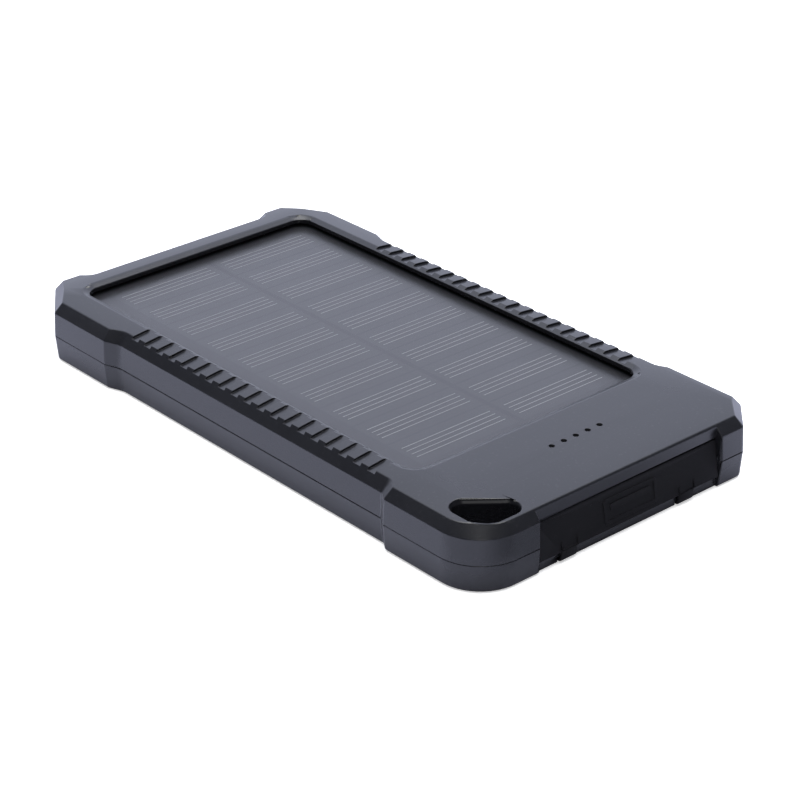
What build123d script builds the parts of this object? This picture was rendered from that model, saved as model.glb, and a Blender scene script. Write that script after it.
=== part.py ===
"""Rugged solar power bank built as separate parts.

Millimetres, +Z up, origin at the centre of the resting face.
X runs across the width, Y along the length, and the ports are at the -Y end.
"""

import os
from math import sqrt

from build123d import (
    Axis,
    Box,
    Circle,
    Compound,
    Cylinder,
    Edge,
    Face,
    Plane,
    Polyline,
    Pos,
    Rectangle,
    Rot,
    Solid,
    Spline,
    Vector,
    Wire,
    export_step,
    extrude,
    fillet,
    sweep,
)

os.makedirs("parts", exist_ok=True)

# Overall body
BODY_LENGTH = 142.0
BODY_WIDTH = 76.8
BODY_HEIGHT = 14.0
SEAM_Z = 5.8
WALL = 1.8
FLOOR = 1.6
CEILING = 2.3
CUT_OVERRUN = 1.0

# Clearances and fits
SLIDE_GAP = 0.2
COVER_GAP = 0.35
SEAT_GAP = 0.25
PORT_GAP = 0.3
SCREW_FIT = 0.02
LAP_GAP = 0.1
CROWN_CLEAR = 0.3
FACE_GAP = 0.1

# Outline: corner bumpers stand out from waists on the long sides and from the far end
WAIST_DEPTH = 1.3
WAIST_FAR_RAMP = 3.6
WAIST_NEAR_RAMP = 2.0
WAIST_FAR_Y = BODY_LENGTH / 2 - 32.35
WAIST_NEAR_Y = -BODY_LENGTH / 2 + 27.36
FAR_RECESS = 2.1
FAR_RECESS_HALF = 22.8
FAR_RECESS_RAMP = 1.8
FAR_CUT_X = 7.4
FAR_CUT_Y = 10.6
NEAR_CUT = 6.8
NEAR_ROUND = 10.0
CUT_EDGE_RADIUS = 1.6
WAIST_RADIUS = 5.0
BUMPER_RADIUS = 1.2
RECESS_RADIUS = 0.8
SMALLEST_RADIUS = 0.12

# Profile of the side walls and of the crowned top face
DRAFT_LOW = 0.45
DRAFT_HIGH = 0.25
BASE_EDGE = 0.5
SEAM_BREAK = 0.14
TOP_CHAMFER_IN = 1.8
TOP_CHAMFER_DOWN = 2.1
CROWN_DROP = 0.8
CROWN_FLAT_X = BODY_WIDTH / 2 - 12.4
CROWN_FLAT_FAR = BODY_LENGTH / 2 - 14.0
CROWN_FLAT_NEAR = BODY_LENGTH / 2 - 21.0
CROWN_OVERRUN = 1.4
LAP_DEPTH = 1.2

# Window and solar panel
WINDOW_HALF_X = BODY_WIDTH / 2 - 8.4
WINDOW_FAR_Y = BODY_LENGTH / 2 - 10.1
WINDOW_NEAR_Y = -BODY_LENGTH / 2 + 26.4
WINDOW_RADIUS = 3.2
BEVEL_IN = 1.3
BEVEL_DOWN = 0.55
PANEL_OVERLAP = 1.2
PANEL_TOP_Z = BODY_HEIGHT - 1.8
TAPE_THICK = 0.2
TAPE_SETBACK = 0.3
LAMINATE_THICK = 0.64
FINGER_THICK = 0.03
CELL_THICK = 0.2
BOARD_THICK = 1.2
CELL_ROWS = 10
CELL_PITCH = 10.04
CELL_GAP = 0.5
CELL_COLUMN_GAP = 1.2
CELL_CENTRE_X = 1.1
CELL_MARGIN_X = 4.1
FIRST_ROW_Y = BODY_LENGTH / 2 - 16.9
FINGERS_PER_CELL = 4
FINGER_PITCH = 1.45
FINGER_WIDTH = 0.15
FINGER_INSET = 1.25

# Square grip grooves along both long sides
GROOVE_COUNT = 19
GROOVE_PITCH = 4.11
GROOVE_DEPTH = 0.45
GROOVE_WIDTH = 2.05
FIRST_GROOVE_Y = BODY_LENGTH / 2 - 34.9

# Port bay and rubber cover at the -Y end
BAY_CENTRE_X = 1.35
BAY_HALF = 23.95
BAY_FLARE = 0.3
BAY_FLARE_DEEP = 0.5
BAY_WALL = 1.6
UPPER_LIP_Y = -BODY_LENGTH / 2 + 1.7
LOWER_LIP_Y = -BODY_LENGTH / 2 + 1.3
UPPER_LIP_Z = 10.4
LOWER_LIP_Z = 2.1
PORT_WALL_Y = -BODY_LENGTH / 2 + 3.1
COVER_BASE_Z = 2.4
COVER_EDGE = 0.3
PLUG_DEPTH = 0.9
PLUG_DRAFT = 0.45
PLUG_ROOT = 0.3
STRAP_X = (BAY_CENTRE_X - 16.25, BAY_CENTRE_X + 14.95)
STRAP_WIDTH = 4.0
STRAP_THICK = 0.8
STRAP_FLAT = 0.6
TAB_LAP = 0.4
STRAP_BASE_Z = 0.15
HINGE_Z = 1.3
STRAP_END_Y = -BODY_LENGTH / 2 + 6.4
ANCHOR_NECK = 1.2
ANCHOR_HEAD = (5.6, 2.0, 0.7)
MARK_WIDTH = 14.0
MARK_HEIGHT = 5.0
MARK_LINE = 0.7
MARK_RAISE = 0.18
MARK_Z = 6.0

# Lanyard hole in the rounded corner
LANYARD_LEG = 4.0
LANYARD_EDGE = 3.0
LANYARD_LONG = 14.6
LANYARD_SHORT = 12.3
LANYARD_TIP_RADIUS = 2.3
LANYARD_CORNER_RADIUS = 4.2
LANYARD_WALL = 2.4
LANYARD_EDGE_BREAK = 0.35

# Indicators
LED_COUNT = 5
LED_PITCH = 3.16
LED_CENTRE_X = BAY_CENTRE_X + 0.1
LED_Y = -BODY_LENGTH / 2 + 15.7
LED_HOLE = 1.2
LED_RECESS = 0.65
LED_SIZE = (1.6, 0.8, 0.7)
LED_TO_ROD = 0.3
GUIDE_BAR = (15.2, 3.0, 1.4)
GUIDE_ROD = 1.0

# Main board and what stands on it
PCB_THICK = 1.2
PCB_Z = 2.6
PCB_LEFT = BAY_CENTRE_X - 22.35
PCB_RIGHT = BAY_CENTRE_X + 24.95
PCB_FRONT_GAP = 0.3
PCB_BACK_Y = -BODY_LENGTH / 2 + 27.4
WING_AHEAD = 6.0
WING_BEHIND = 8.0
WING_EDGE = 0.1
PCB_SCREW_OFFSETS = ((-19.75, -2.8), (22.05, -2.8), (0.65, -4.0))
PCB_POST_WALL = 0.6
USB_A = (13.1, 13.6, 5.7)
USB_A_X = (BAY_CENTRE_X - 14.5, BAY_CENTRE_X + 14.5)
MICRO_USB = (7.6, 5.4, 2.6)
SHEET = 0.3
USB_FRONT_Y = PORT_WALL_Y + 1.1
USB_TONGUE = (11.1, 8.9, 1.85)
USB_TONGUE_SETBACK = 0.8
USB_TONGUE_DROP = 0.75
MICRO_TONGUE = (5.6, 3.2, 0.7)
MICRO_TONGUE_SETBACK = 0.6
CONTACT_COUNT = 4
CONTACT = (1.0, 7.4, 0.15)
CONTACT_PITCH = 2.4
INDUCTOR = (6.0, 6.0, 3.0)
INDUCTOR_EDGE = 0.8
INDUCTOR_OFFSET = (-15.15, -6.5)
CHIPS = ((11.05, -5.0, 5.0, 4.0), (-5.95, -5.6, 4.0, 4.0), (27.85, -5.8, 3.0, 3.0))
CAPACITOR_OFFSETS = ((-9.95, -3.0), (-9.95, -5.6), (5.25, -5.0), (5.25, -7.4), (16.05, -6.8), (18.25, -6.8))
CHIP_THICK = 1.0
CAPACITOR = (1.6, 2.0, 1.2)

# Power button on the +X side
BUTTON_Y = -BODY_LENGTH / 2 + 17.0
BUTTON_LENGTH = 7.0
BUTTON_HEIGHT = 3.4
BUTTON_PROUD = 0.5
BUTTON_DISH = 0.6
BUTTON_DISH_MARGIN = 1.3
BUTTON_TRAVEL = 0.4
BUTTON_FLANGE = 0.8
BUTTON_FLANGE_LIP = 0.9
BUTTON_EDGE = 0.35
BUTTON_STEM = 1.6
BUTTON_STEM_REACH = 1.6
SWITCH_DEPTH = 3.5
SWITCH_WIDTH = 6.0
SWITCH_HEADROOM = 0.2
PLUNGER = (1.5, 2.6, 1.4)
PLUNGER_PROUD = 0.7

# Battery
BATTERY_SIDE = 8.4
BATTERY_FAR_END = 13.9
BATTERY_BOARD_GAP = 3.7
BATTERY_RADIUS = 2.4
BATTERY_PAD = 0.6
BATTERY_PAD_WIDTH = 12.0
BATTERY_PAD_MARGIN = 8.0
FOAM_THICK = 0.7
FOAM_MARGIN_X = 7.0
FOAM_MARGIN_Y = 12.0
FOAM_SHIFT = 4.0
TERRACE = 4.0
PCM_BOARD = (34.0, 3.2, 1.0)
LEAD_RADIUS = 0.6
LEAD_SINK = 0.05
BATTERY_LEAD_OFFSETS = (-13.95, -15.75)
SOLAR_LEAD_OFFSETS = (23.65, 25.65)
LEAD_START = 1.4
LEAD_BEND = 1.0
LEAD_SAG = 0.2
LEAD_LEAN = 0.4
LEAD_LANDING = 0.6
LEAD_LIFT = 0.3
LEAD_END = 2.6
SOLAR_LEAD_START = 2.0
SOLAR_LEAD_SAG = 0.45
SOLAR_LEAD_DROP = 1.6
SOLAR_LEAD_LANDING = 3.0
SOLAR_LEAD_LIFT = 0.55
SOLAR_LEAD_END = 4.8
RIB_THICK = 1.0
RIB_HEIGHT = 3.0
RIB_INSET = 6.0
RIB_SHARE = 1.6

# Case screws
SCREW_SHANK = 2.2
SCREW_HEAD = 3.6
SCREW_HEAD_HIGH = 1.5
SCREW_SEAT_Z = 2.0
SCREW_LENGTH = 8.0
SCREW_SLOT = (2.4, 0.5, 0.7)
BOSS_UPPER = 1.9
BOSS_LOWER = 2.9
PCB_SCREW_SHANK = 1.4
PCB_SCREW_HEAD = 2.8
PCB_SCREW_HEAD_HIGH = 0.9
PCB_SCREW_SLOT = (1.8, 0.4, 0.5)
PCB_SCREW_DEPTH = 1.6
SCREW_END_GAP = 0.4
BOSSES = (
    (-BODY_WIDTH / 2 + 10.9, BODY_LENGTH / 2 - 5.2),
    (BODY_WIDTH / 2 - 10.9, BODY_LENGTH / 2 - 5.2),
    (-BODY_WIDTH / 2 + 5.1, 4.0),
    (BODY_WIDTH / 2 - 5.1, 4.0),
    (-BODY_WIDTH / 2 + 5.2, -BODY_LENGTH / 2 + 19.2),
    (BODY_WIDTH / 2 - 8.3, -BODY_LENGTH / 2 + 6.1),
)

# Sizes that follow from the ones above
HALF_W = BODY_WIDTH / 2
HALF_L = BODY_LENGTH / 2
EDGE_TOP_Z = BODY_HEIGHT - CROWN_DROP
CHAMFER_Z = EDGE_TOP_Z - TOP_CHAMFER_DOWN
CEILING_Z = BODY_HEIGHT - CEILING
TAPE_TOP_Z = PANEL_TOP_Z + TAPE_THICK
PCB_TOP_Z = PCB_Z + PCB_THICK
BAY_LEFT = BAY_CENTRE_X - BAY_HALF
BAY_RIGHT = BAY_CENTRE_X + BAY_HALF
TALL = 4 * BODY_HEIGHT
HINGE_Y = LOWER_LIP_Y - FACE_GAP - STRAP_THICK / 2
COVER_TOP_Z = UPPER_LIP_Z - COVER_GAP
COVER_BASE_Y = HINGE_Y - STRAP_THICK / 2
CELL_Z = PANEL_TOP_Z - LAMINATE_THICK - FINGER_THICK - CELL_THICK
PANEL_BACK_Z = CELL_Z - BOARD_THICK
PCB_FRONT_Y = PORT_WALL_Y + BAY_WALL + PCB_FRONT_GAP
STEM_X = HALF_W - WALL - SLIDE_GAP - BUTTON_FLANGE - BUTTON_STEM_REACH
WING_RIGHT = STEM_X - PLUNGER_PROUD + WING_EDGE
BATTERY_Z = FLOOR + BATTERY_PAD
BATTERY_NEAR_Y = PCB_BACK_Y + BATTERY_BOARD_GAP
BATTERY_LENGTH = HALF_L - BATTERY_FAR_END - BATTERY_NEAR_Y
BATTERY_WIDTH = BODY_WIDTH - 2 * BATTERY_SIDE
BATTERY_HEIGHT = PANEL_BACK_Z - FOAM_THICK - BATTERY_Z
BATTERY_Y = BATTERY_NEAR_Y + BATTERY_LENGTH / 2


def save(node, shape):
    """Write one node of the assembly as its own STEP file."""
    export_step(shape, f"parts/{node}.step")


def block(x0, x1, y0, y1, z0, z1):
    """Box between two corners."""
    centre = Pos((x0 + x1) / 2, (y0 + y1) / 2, (z0 + z1) / 2)
    return centre * Box(x1 - x0, y1 - y0, z1 - z0)


def centred_block(x, y, z0, size):
    """Box of a given size centred on x and y and standing on z0."""
    return Pos(x, y, z0 + size[2] / 2) * Box(*size)


def rod(x, y, z0, z1, diameter):
    """Upright cylinder between two heights."""
    return Pos(x, y, (z0 + z1) / 2) * Cylinder(diameter / 2, z1 - z0)


def group(shapes):
    """Separate solids that share one node."""
    solids = []
    for shape in shapes:
        solids.extend(shape.solids())
    return Compound(children=solids)


def inset_corners(corners, inset):
    """Move every side of a counter-clockwise outline inward, keeping its arcs parallel."""
    moved = []
    for index, (x, y, radius) in enumerate(corners):
        x_before, y_before, _ = corners[index - 1]
        x_after, y_after, _ = corners[(index + 1) % len(corners)]
        arriving = Vector(x - x_before, y - y_before).normalized()
        leaving = Vector(x_after - x, y_after - y).normalized()
        normal_in = Vector(-arriving.Y, arriving.X)
        normal_out = Vector(-leaving.Y, leaving.X)
        miter = (normal_in + normal_out) * (inset / (1 + normal_in.dot(normal_out)))
        convex = arriving.cross(leaving).Z > 0
        parallel = radius - inset if convex else radius + inset
        moved.append((x + miter.X, y + miter.Y, max(parallel, SMALLEST_RADIUS)))
    return moved


def outline_wire(corners, z):
    """Closed wire at one height, each corner rounded by its own radius."""
    arcs = []
    for index, (x, y, radius) in enumerate(corners):
        x_before, y_before, _ = corners[index - 1]
        x_after, y_after, _ = corners[(index + 1) % len(corners)]
        corner = Vector(x, y, z)
        arriving = Vector(x - x_before, y - y_before).normalized()
        leaving = Vector(x_after - x, y_after - y).normalized()
        half_turn_cos = sqrt((1 + arriving.dot(leaving)) / 2)
        half_turn_tan = sqrt(1 - half_turn_cos**2) / half_turn_cos
        reach = radius * half_turn_tan
        inward = (leaving - arriving).normalized()
        middle = corner + inward * (radius / half_turn_cos - radius)
        arcs.append((corner - arriving * reach, middle, corner + leaving * reach))
    edges = []
    for index, (start, middle, end) in enumerate(arcs):
        edges.append(Edge.make_line(arcs[index - 1][2], start))
        edges.append(Edge.make_three_point_arc(start, middle, end))
    return Wire(edges)


def shell_of(corners, levels):
    """Solid through parallel copies of an outline, given as (height, inset) levels."""
    wires = [outline_wire(inset_corners(corners, inset), z) for z, inset in levels]
    return Solid.make_loft(wires, ruled=True)


def prism(corners, z0, z1, inset=0.0):
    """Upright solid with a rounded outline."""
    return shell_of(corners, ((z0, inset), (z1, inset)))


def rounded_rectangle(x0, x1, y0, y1, radius):
    """Corners of a rounded rectangle, counter-clockwise."""
    return [(x0, y0, radius), (x1, y0, radius), (x1, y1, radius), (x0, y1, radius)]


def body_outline():
    """Outer outline at the seam, counter-clockwise from the rounded corner."""
    waist = HALF_W - WAIST_DEPTH
    recess = HALF_L - FAR_RECESS
    ramp_end = FAR_RECESS_HALF + FAR_RECESS_RAMP
    return [
        (-HALF_W, -HALF_L, NEAR_ROUND),
        (HALF_W - NEAR_CUT, -HALF_L, CUT_EDGE_RADIUS),
        (HALF_W, -HALF_L + NEAR_CUT, CUT_EDGE_RADIUS),
        (HALF_W, WAIST_NEAR_Y - WAIST_NEAR_RAMP, BUMPER_RADIUS),
        (waist, WAIST_NEAR_Y, BUMPER_RADIUS),
        (waist, WAIST_FAR_Y, WAIST_RADIUS),
        (HALF_W, WAIST_FAR_Y + WAIST_FAR_RAMP, BUMPER_RADIUS),
        (HALF_W, HALF_L - FAR_CUT_Y, CUT_EDGE_RADIUS),
        (HALF_W - FAR_CUT_X, HALF_L, CUT_EDGE_RADIUS),
        (ramp_end, HALF_L, RECESS_RADIUS),
        (FAR_RECESS_HALF, recess, RECESS_RADIUS),
        (-FAR_RECESS_HALF, recess, RECESS_RADIUS),
        (-ramp_end, HALF_L, RECESS_RADIUS),
        (-HALF_W + FAR_CUT_X, HALF_L, CUT_EDGE_RADIUS),
        (-HALF_W, HALF_L - FAR_CUT_Y, CUT_EDGE_RADIUS),
        (-HALF_W, WAIST_FAR_Y + WAIST_FAR_RAMP, BUMPER_RADIUS),
        (-waist, WAIST_FAR_Y, WAIST_RADIUS),
        (-waist, WAIST_NEAR_Y, BUMPER_RADIUS),
        (-HALF_W, WAIST_NEAR_Y - WAIST_NEAR_RAMP, BUMPER_RADIUS),
    ]


def falling_arc(flat, edge):
    """Three points of an arc that leaves the flat top level and reaches the edge lower."""
    reach = edge - flat
    radius = (reach**2 + CROWN_DROP**2) / (2 * CROWN_DROP)
    points = []
    for share in (0, 1, CROWN_OVERRUN):
        across = reach * share
        points.append(Vector(flat + across, BODY_HEIGHT - radius + sqrt(radius**2 - across**2)))
    return points


def crown(plane, flat_minus, flat_plus, half):
    """Solid under a top profile that falls away at both ends."""
    edge = half - TOP_CHAMFER_IN - DRAFT_HIGH
    plus = falling_arc(flat_plus, edge)
    minus = [Vector(-point.X, point.Y) for point in falling_arc(flat_minus, edge)]
    low_plus = Vector(plus[2].X, -1)
    low_minus = Vector(minus[2].X, -1)
    profile = Wire(
        [
            Edge.make_line(low_minus, low_plus),
            Edge.make_line(low_plus, plus[2]),
            Edge.make_three_point_arc(plus[2], plus[1], plus[0]),
            Edge.make_line(plus[0], minus[0]),
            Edge.make_three_point_arc(minus[0], minus[1], minus[2]),
            Edge.make_line(minus[2], low_minus),
        ]
    )
    return extrude(plane * Face(profile), amount=BODY_LENGTH, both=True)


def crown_height(across):
    """Height of the crowned top at a distance from the length axis."""
    reach = HALF_W - TOP_CHAMFER_IN - DRAFT_HIGH - CROWN_FLAT_X
    radius = (reach**2 + CROWN_DROP**2) / (2 * CROWN_DROP)
    return BODY_HEIGHT - radius + sqrt(radius**2 - max(across - CROWN_FLAT_X, 0) ** 2)


def bay_cut(back_y, z0, z1):
    """Space in front of a plane inside the port bay, with sides that flare outward."""
    mouth_y = -HALF_L - 5
    flare_y = -HALF_L + BAY_FLARE_DEEP
    points = [
        (BAY_LEFT, back_y),
        (BAY_LEFT, flare_y),
        (BAY_LEFT - BAY_FLARE, -HALF_L),
        (BAY_LEFT - BAY_FLARE, mouth_y),
        (BAY_RIGHT + BAY_FLARE, mouth_y),
        (BAY_RIGHT + BAY_FLARE, -HALF_L),
        (BAY_RIGHT, flare_y),
        (BAY_RIGHT, back_y),
    ]
    face = Face(Wire(Polyline(*points, close=True).edges()))
    return Pos(0, 0, z0) * extrude(face, amount=z1 - z0)


def port_apertures():
    """Openings through the port wall, one round each receptacle."""
    cuts = []
    for x, size in receptacles():
        half = size[0] / 2 + PORT_GAP
        low = PCB_TOP_Z - PORT_GAP
        high = PCB_TOP_Z + size[2] + PORT_GAP
        cuts.append(block(x - half, x + half, PORT_WALL_Y - 1, PORT_WALL_Y + BAY_WALL + 1, low, high))
    return cuts


def receptacles():
    """Centre and size of every receptacle behind the cover."""
    return [(USB_A_X[0], USB_A), (BAY_CENTRE_X, MICRO_USB), (USB_A_X[1], USB_A)]


def lanyard_outline():
    """Rounded right triangle that follows the rounded corner of the body."""
    left = -HALF_W + LANYARD_LEG
    low = -HALF_L + LANYARD_EDGE
    return [
        (left, low, LANYARD_CORNER_RADIUS),
        (left + LANYARD_LONG, low, LANYARD_TIP_RADIUS),
        (left, low + LANYARD_SHORT, LANYARD_TIP_RADIUS),
    ]


def lanyard_cut():
    """Through hole whose top and bottom rims are broken by a small bevel."""
    outline = lanyard_outline()
    rim_top = crown_height(HALF_W - LANYARD_LEG)
    hole = prism(outline, -1, TALL)
    top = shell_of(
        outline,
        ((rim_top - 2 * LANYARD_EDGE_BREAK, 0), (rim_top, -LANYARD_EDGE_BREAK), (TALL, -LANYARD_EDGE_BREAK)),
    )
    low = shell_of(outline, ((-1, -LANYARD_EDGE_BREAK - 1), (LANYARD_EDGE_BREAK, 0)))
    return [hole, top, low]


def kept_blocks(boss_radius):
    """Material that stays solid inside the cavity of either shell."""
    blocks = [prism(lanyard_outline(), -1, TALL, -LANYARD_WALL)]
    blocks.append(block(BAY_LEFT - BAY_WALL, BAY_RIGHT + BAY_WALL, -HALF_L, PORT_WALL_Y + BAY_WALL, -1, TALL))
    for x, y in BOSSES:
        blocks.append(rod(x, y, -1, TALL, 2 * boss_radius))
    return blocks


def wall_block(x0, x1, margin):
    """Block round the button's outline, grown by a margin, across a range of X."""
    half_y = BUTTON_LENGTH / 2 + margin
    half_z = BUTTON_HEIGHT / 2 + margin
    return block(x0, x1, BUTTON_Y - half_y, BUTTON_Y + half_y, SEAM_Z - half_z, SEAM_Z + half_z)


def button_cuts():
    """Aperture for the power button and the shallow dish that guards it."""
    dish = wall_block(HALF_W - BUTTON_DISH, HALF_W + 1, BUTTON_DISH_MARGIN)
    dish = fillet(dish.edges().filter_by(Axis.X), BUTTON_DISH_MARGIN)
    return [wall_block(HALF_W - WALL - CUT_OVERRUN, HALF_W + CUT_OVERRUN, SLIDE_GAP), dish]


def grip_grooves():
    """Square grooves across the frame, open to the window's bevel and to the outer chamfer."""
    inner = WINDOW_HALF_X + BEVEL_IN
    outer = HALF_W - TOP_CHAMFER_IN - DRAFT_HIGH
    top = crown_height(inner)
    fall = (crown_height(outer) - top) / (outer - inner)
    profile = []
    for x in (WINDOW_HALF_X, HALF_W + CUT_OVERRUN):
        level = top + fall * (x - inner)
        profile.append((x, level - GROOVE_DEPTH, level + CUT_OVERRUN))
    (start, start_low, start_high), (end, end_low, end_high) = profile
    cuts = []
    for index in range(GROOVE_COUNT):
        near = FIRST_GROOVE_Y - index * GROOVE_PITCH - GROOVE_WIDTH
        for side in (-1, 1):
            x0, x1 = side * start, side * end
            corners = [(x0, near, start_high), (x0, near, start_low), (x1, near, end_low), (x1, near, end_high)]
            face = Face(Wire(Polyline(*corners, close=True).edges()))
            cuts.append(extrude(face, amount=GROOVE_WIDTH, dir=(0, 1, 0)))
    return cuts


def window_cut():
    """Window with a bevelled rim, and the pocket that takes the panel from below."""
    opening = rounded_rectangle(-WINDOW_HALF_X, WINDOW_HALF_X, WINDOW_NEAR_Y, WINDOW_FAR_Y, WINDOW_RADIUS)
    rim_z = crown_height(WINDOW_HALF_X + BEVEL_IN)
    slope = BEVEL_IN / BEVEL_DOWN
    rise = BEVEL_DOWN + CUT_OVERRUN
    bevel = shell_of(opening, ((rim_z - BEVEL_DOWN, 0), (rim_z - BEVEL_DOWN + rise, -rise * slope)))
    reach = PANEL_OVERLAP + SEAT_GAP
    pocket = block(
        -WINDOW_HALF_X - reach,
        WINDOW_HALF_X + reach,
        WINDOW_NEAR_Y - reach,
        WINDOW_FAR_Y + reach,
        SEAM_Z,
        TAPE_TOP_Z,
    )
    return [prism(opening, SEAM_Z, TALL), bevel, pocket]


def upper_case():
    """Upper shell with crowned top, window, grooves, indicator holes and port bay."""
    over = BODY_HEIGHT + CROWN_CLEAR
    over_in = DRAFT_HIGH + TOP_CHAMFER_IN * (over - CHAMFER_Z) / TOP_CHAMFER_DOWN
    levels = ((SEAM_Z, SEAM_BREAK), (SEAM_Z + SEAM_BREAK, 0), (CHAMFER_Z, DRAFT_HIGH), (over, over_in))
    body = shell_of(body_outline(), levels)
    body = body & crown(Plane.XZ, CROWN_FLAT_X, CROWN_FLAT_X, HALF_W)
    body = body & crown(Plane.YZ, CROWN_FLAT_NEAR, CROWN_FLAT_FAR, HALF_L)
    cavity = prism(body_outline(), SEAM_Z - 1, CEILING_Z, WALL)
    body = body - cavity.cut(*kept_blocks(BOSS_UPPER))
    skirt_out = WALL / 2 + LAP_GAP
    skirt = prism(body_outline(), SEAM_Z - LAP_DEPTH, SEAM_Z + 1, skirt_out)
    skirt = skirt - prism(body_outline(), SEAM_Z - LAP_DEPTH - 1, SEAM_Z + 2, WALL)
    body = body + skirt
    cuts = window_cut() + grip_grooves() + lanyard_cut() + port_apertures() + button_cuts()
    cuts.append(bay_cut(UPPER_LIP_Y, UPPER_LIP_Z, TALL))
    cuts.append(bay_cut(PORT_WALL_Y, 0, UPPER_LIP_Z))
    for index in range(LED_COUNT):
        cuts.append(rod(led_x(index), LED_Y, CEILING_Z - 1, TALL, LED_HOLE))
    for x, y in BOSSES:
        cuts.append(rod(x, y, 0, SCREW_SEAT_Z + SCREW_LENGTH + SCREW_END_GAP, SCREW_SHANK + SCREW_FIT))
        cuts.append(rod(x, y, 0, SEAM_Z, 2 * BOSS_LOWER + 2 * LAP_GAP))
    return body.cut(*cuts)


def on_board(offset_x, offset_y):
    """Place on the main board, from the middle of its back edge."""
    return BAY_CENTRE_X + offset_x, PCB_BACK_Y + offset_y


def board_screw_places():
    """Centres of the screws that hold the main board."""
    return [on_board(*offset) for offset in PCB_SCREW_OFFSETS]


def led_x(index):
    """Position of one indicator along the row."""
    return LED_CENTRE_X + (index - (LED_COUNT - 1) / 2) * LED_PITCH


def strap_channels():
    """Channels under the lower lip for the hinge straps, and the slots for their anchors."""
    half = STRAP_WIDTH / 2 + SEAT_GAP
    top = STRAP_BASE_Z + STRAP_FLAT + SEAT_GAP
    cuts = []
    for x in STRAP_X:
        cuts.append(block(x - half, x + half, -HALF_L - 1, STRAP_END_Y + SEAT_GAP, -1, top))
        neck_y = STRAP_END_Y - ANCHOR_NECK - SEAT_GAP
        cuts.append(block(x - half, x + half, neck_y, STRAP_END_Y + SEAT_GAP, 0, FLOOR + 1))
    return cuts


def lower_case():
    """Lower shell with screw bosses, battery ribs, board posts and the lower lip."""
    levels = (
        (0, DRAFT_LOW + BASE_EDGE),
        (BASE_EDGE, DRAFT_LOW),
        (SEAM_Z - SEAM_BREAK, 0),
        (SEAM_Z, SEAM_BREAK),
    )
    body = shell_of(body_outline(), levels)
    cavity = prism(body_outline(), FLOOR, SEAM_Z + 1, WALL + LAP_GAP)
    body = body - cavity.cut(*kept_blocks(BOSS_LOWER))
    rebate = prism(body_outline(), SEAM_Z - LAP_DEPTH - LAP_GAP, SEAM_Z + 1, WALL / 2)
    rebate = rebate - prism(body_outline(), 0, SEAM_Z + 2, WALL + LAP_GAP)
    body = body - rebate
    additions = []
    for x, y in board_screw_places():
        additions.append(rod(x, y, FLOOR / 2, PCB_Z, PCB_SCREW_HEAD + 2 * PCB_POST_WALL))
    rib_length = (BATTERY_WIDTH / 2 - RIB_INSET) / RIB_SHARE
    for end in (-1, 1):
        rib_y = BATTERY_Y + end * (BATTERY_LENGTH / 2 + SEAT_GAP + RIB_THICK / 2)
        for side in (-1, 1):
            size = (rib_length, RIB_THICK, RIB_HEIGHT + FLOOR / 2)
            additions.append(centred_block(side * rib_length, rib_y, FLOOR / 2, size))
    body = body.fuse(*additions)
    cuts = lanyard_cut() + port_apertures() + strap_channels() + button_cuts()
    cuts.append(bay_cut(PORT_WALL_Y, LOWER_LIP_Z, TALL))
    cuts.append(bay_cut(LOWER_LIP_Y, -1, LOWER_LIP_Z))
    for x, y in BOSSES:
        cuts.append(rod(x, y, -1, SCREW_SEAT_Z, SCREW_HEAD + 2 * SLIDE_GAP))
        cuts.append(rod(x, y, 0, TALL, SCREW_SHANK + 2 * SLIDE_GAP))
    for x, y in board_screw_places():
        cuts.append(rod(x, y, PCB_Z - PCB_SCREW_DEPTH - SLIDE_GAP, TALL, PCB_SCREW_SHANK + SCREW_FIT))
    return body.cut(*cuts)


def cover_face_y(z):
    """Outer face of the cover, which leans out towards its hinge."""
    share = (z - COVER_BASE_Z) / (COVER_TOP_Z - COVER_BASE_Z)
    return COVER_BASE_Y + share * (UPPER_LIP_Y - COVER_BASE_Y)


def cover_mark():
    """Raised pictogram of a socket: an outline round a solid bar."""
    low = cover_face_y(MARK_Z - 1)
    high = cover_face_y(MARK_Z + 1)
    lean = Vector(0, high - low, 2).normalized()
    origin = Vector(BAY_CENTRE_X, cover_face_y(MARK_Z), MARK_Z)
    face_plane = Plane(origin=origin, x_dir=Vector(1, 0, 0), z_dir=Vector(1, 0, 0).cross(lean))
    ring = Rectangle(MARK_WIDTH, MARK_HEIGHT)
    ring = fillet(ring.vertices(), MARK_LINE)
    ring = ring - Rectangle(MARK_WIDTH - 2 * MARK_LINE, MARK_HEIGHT - 2 * MARK_LINE)
    bar = Pos(0, MARK_HEIGHT / 8) * Rectangle(MARK_WIDTH - 5 * MARK_LINE, MARK_HEIGHT / 4)
    sketch = ring + bar
    return extrude(face_plane * sketch, amount=MARK_RAISE) + extrude(face_plane * sketch, amount=-MARK_RAISE)


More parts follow.
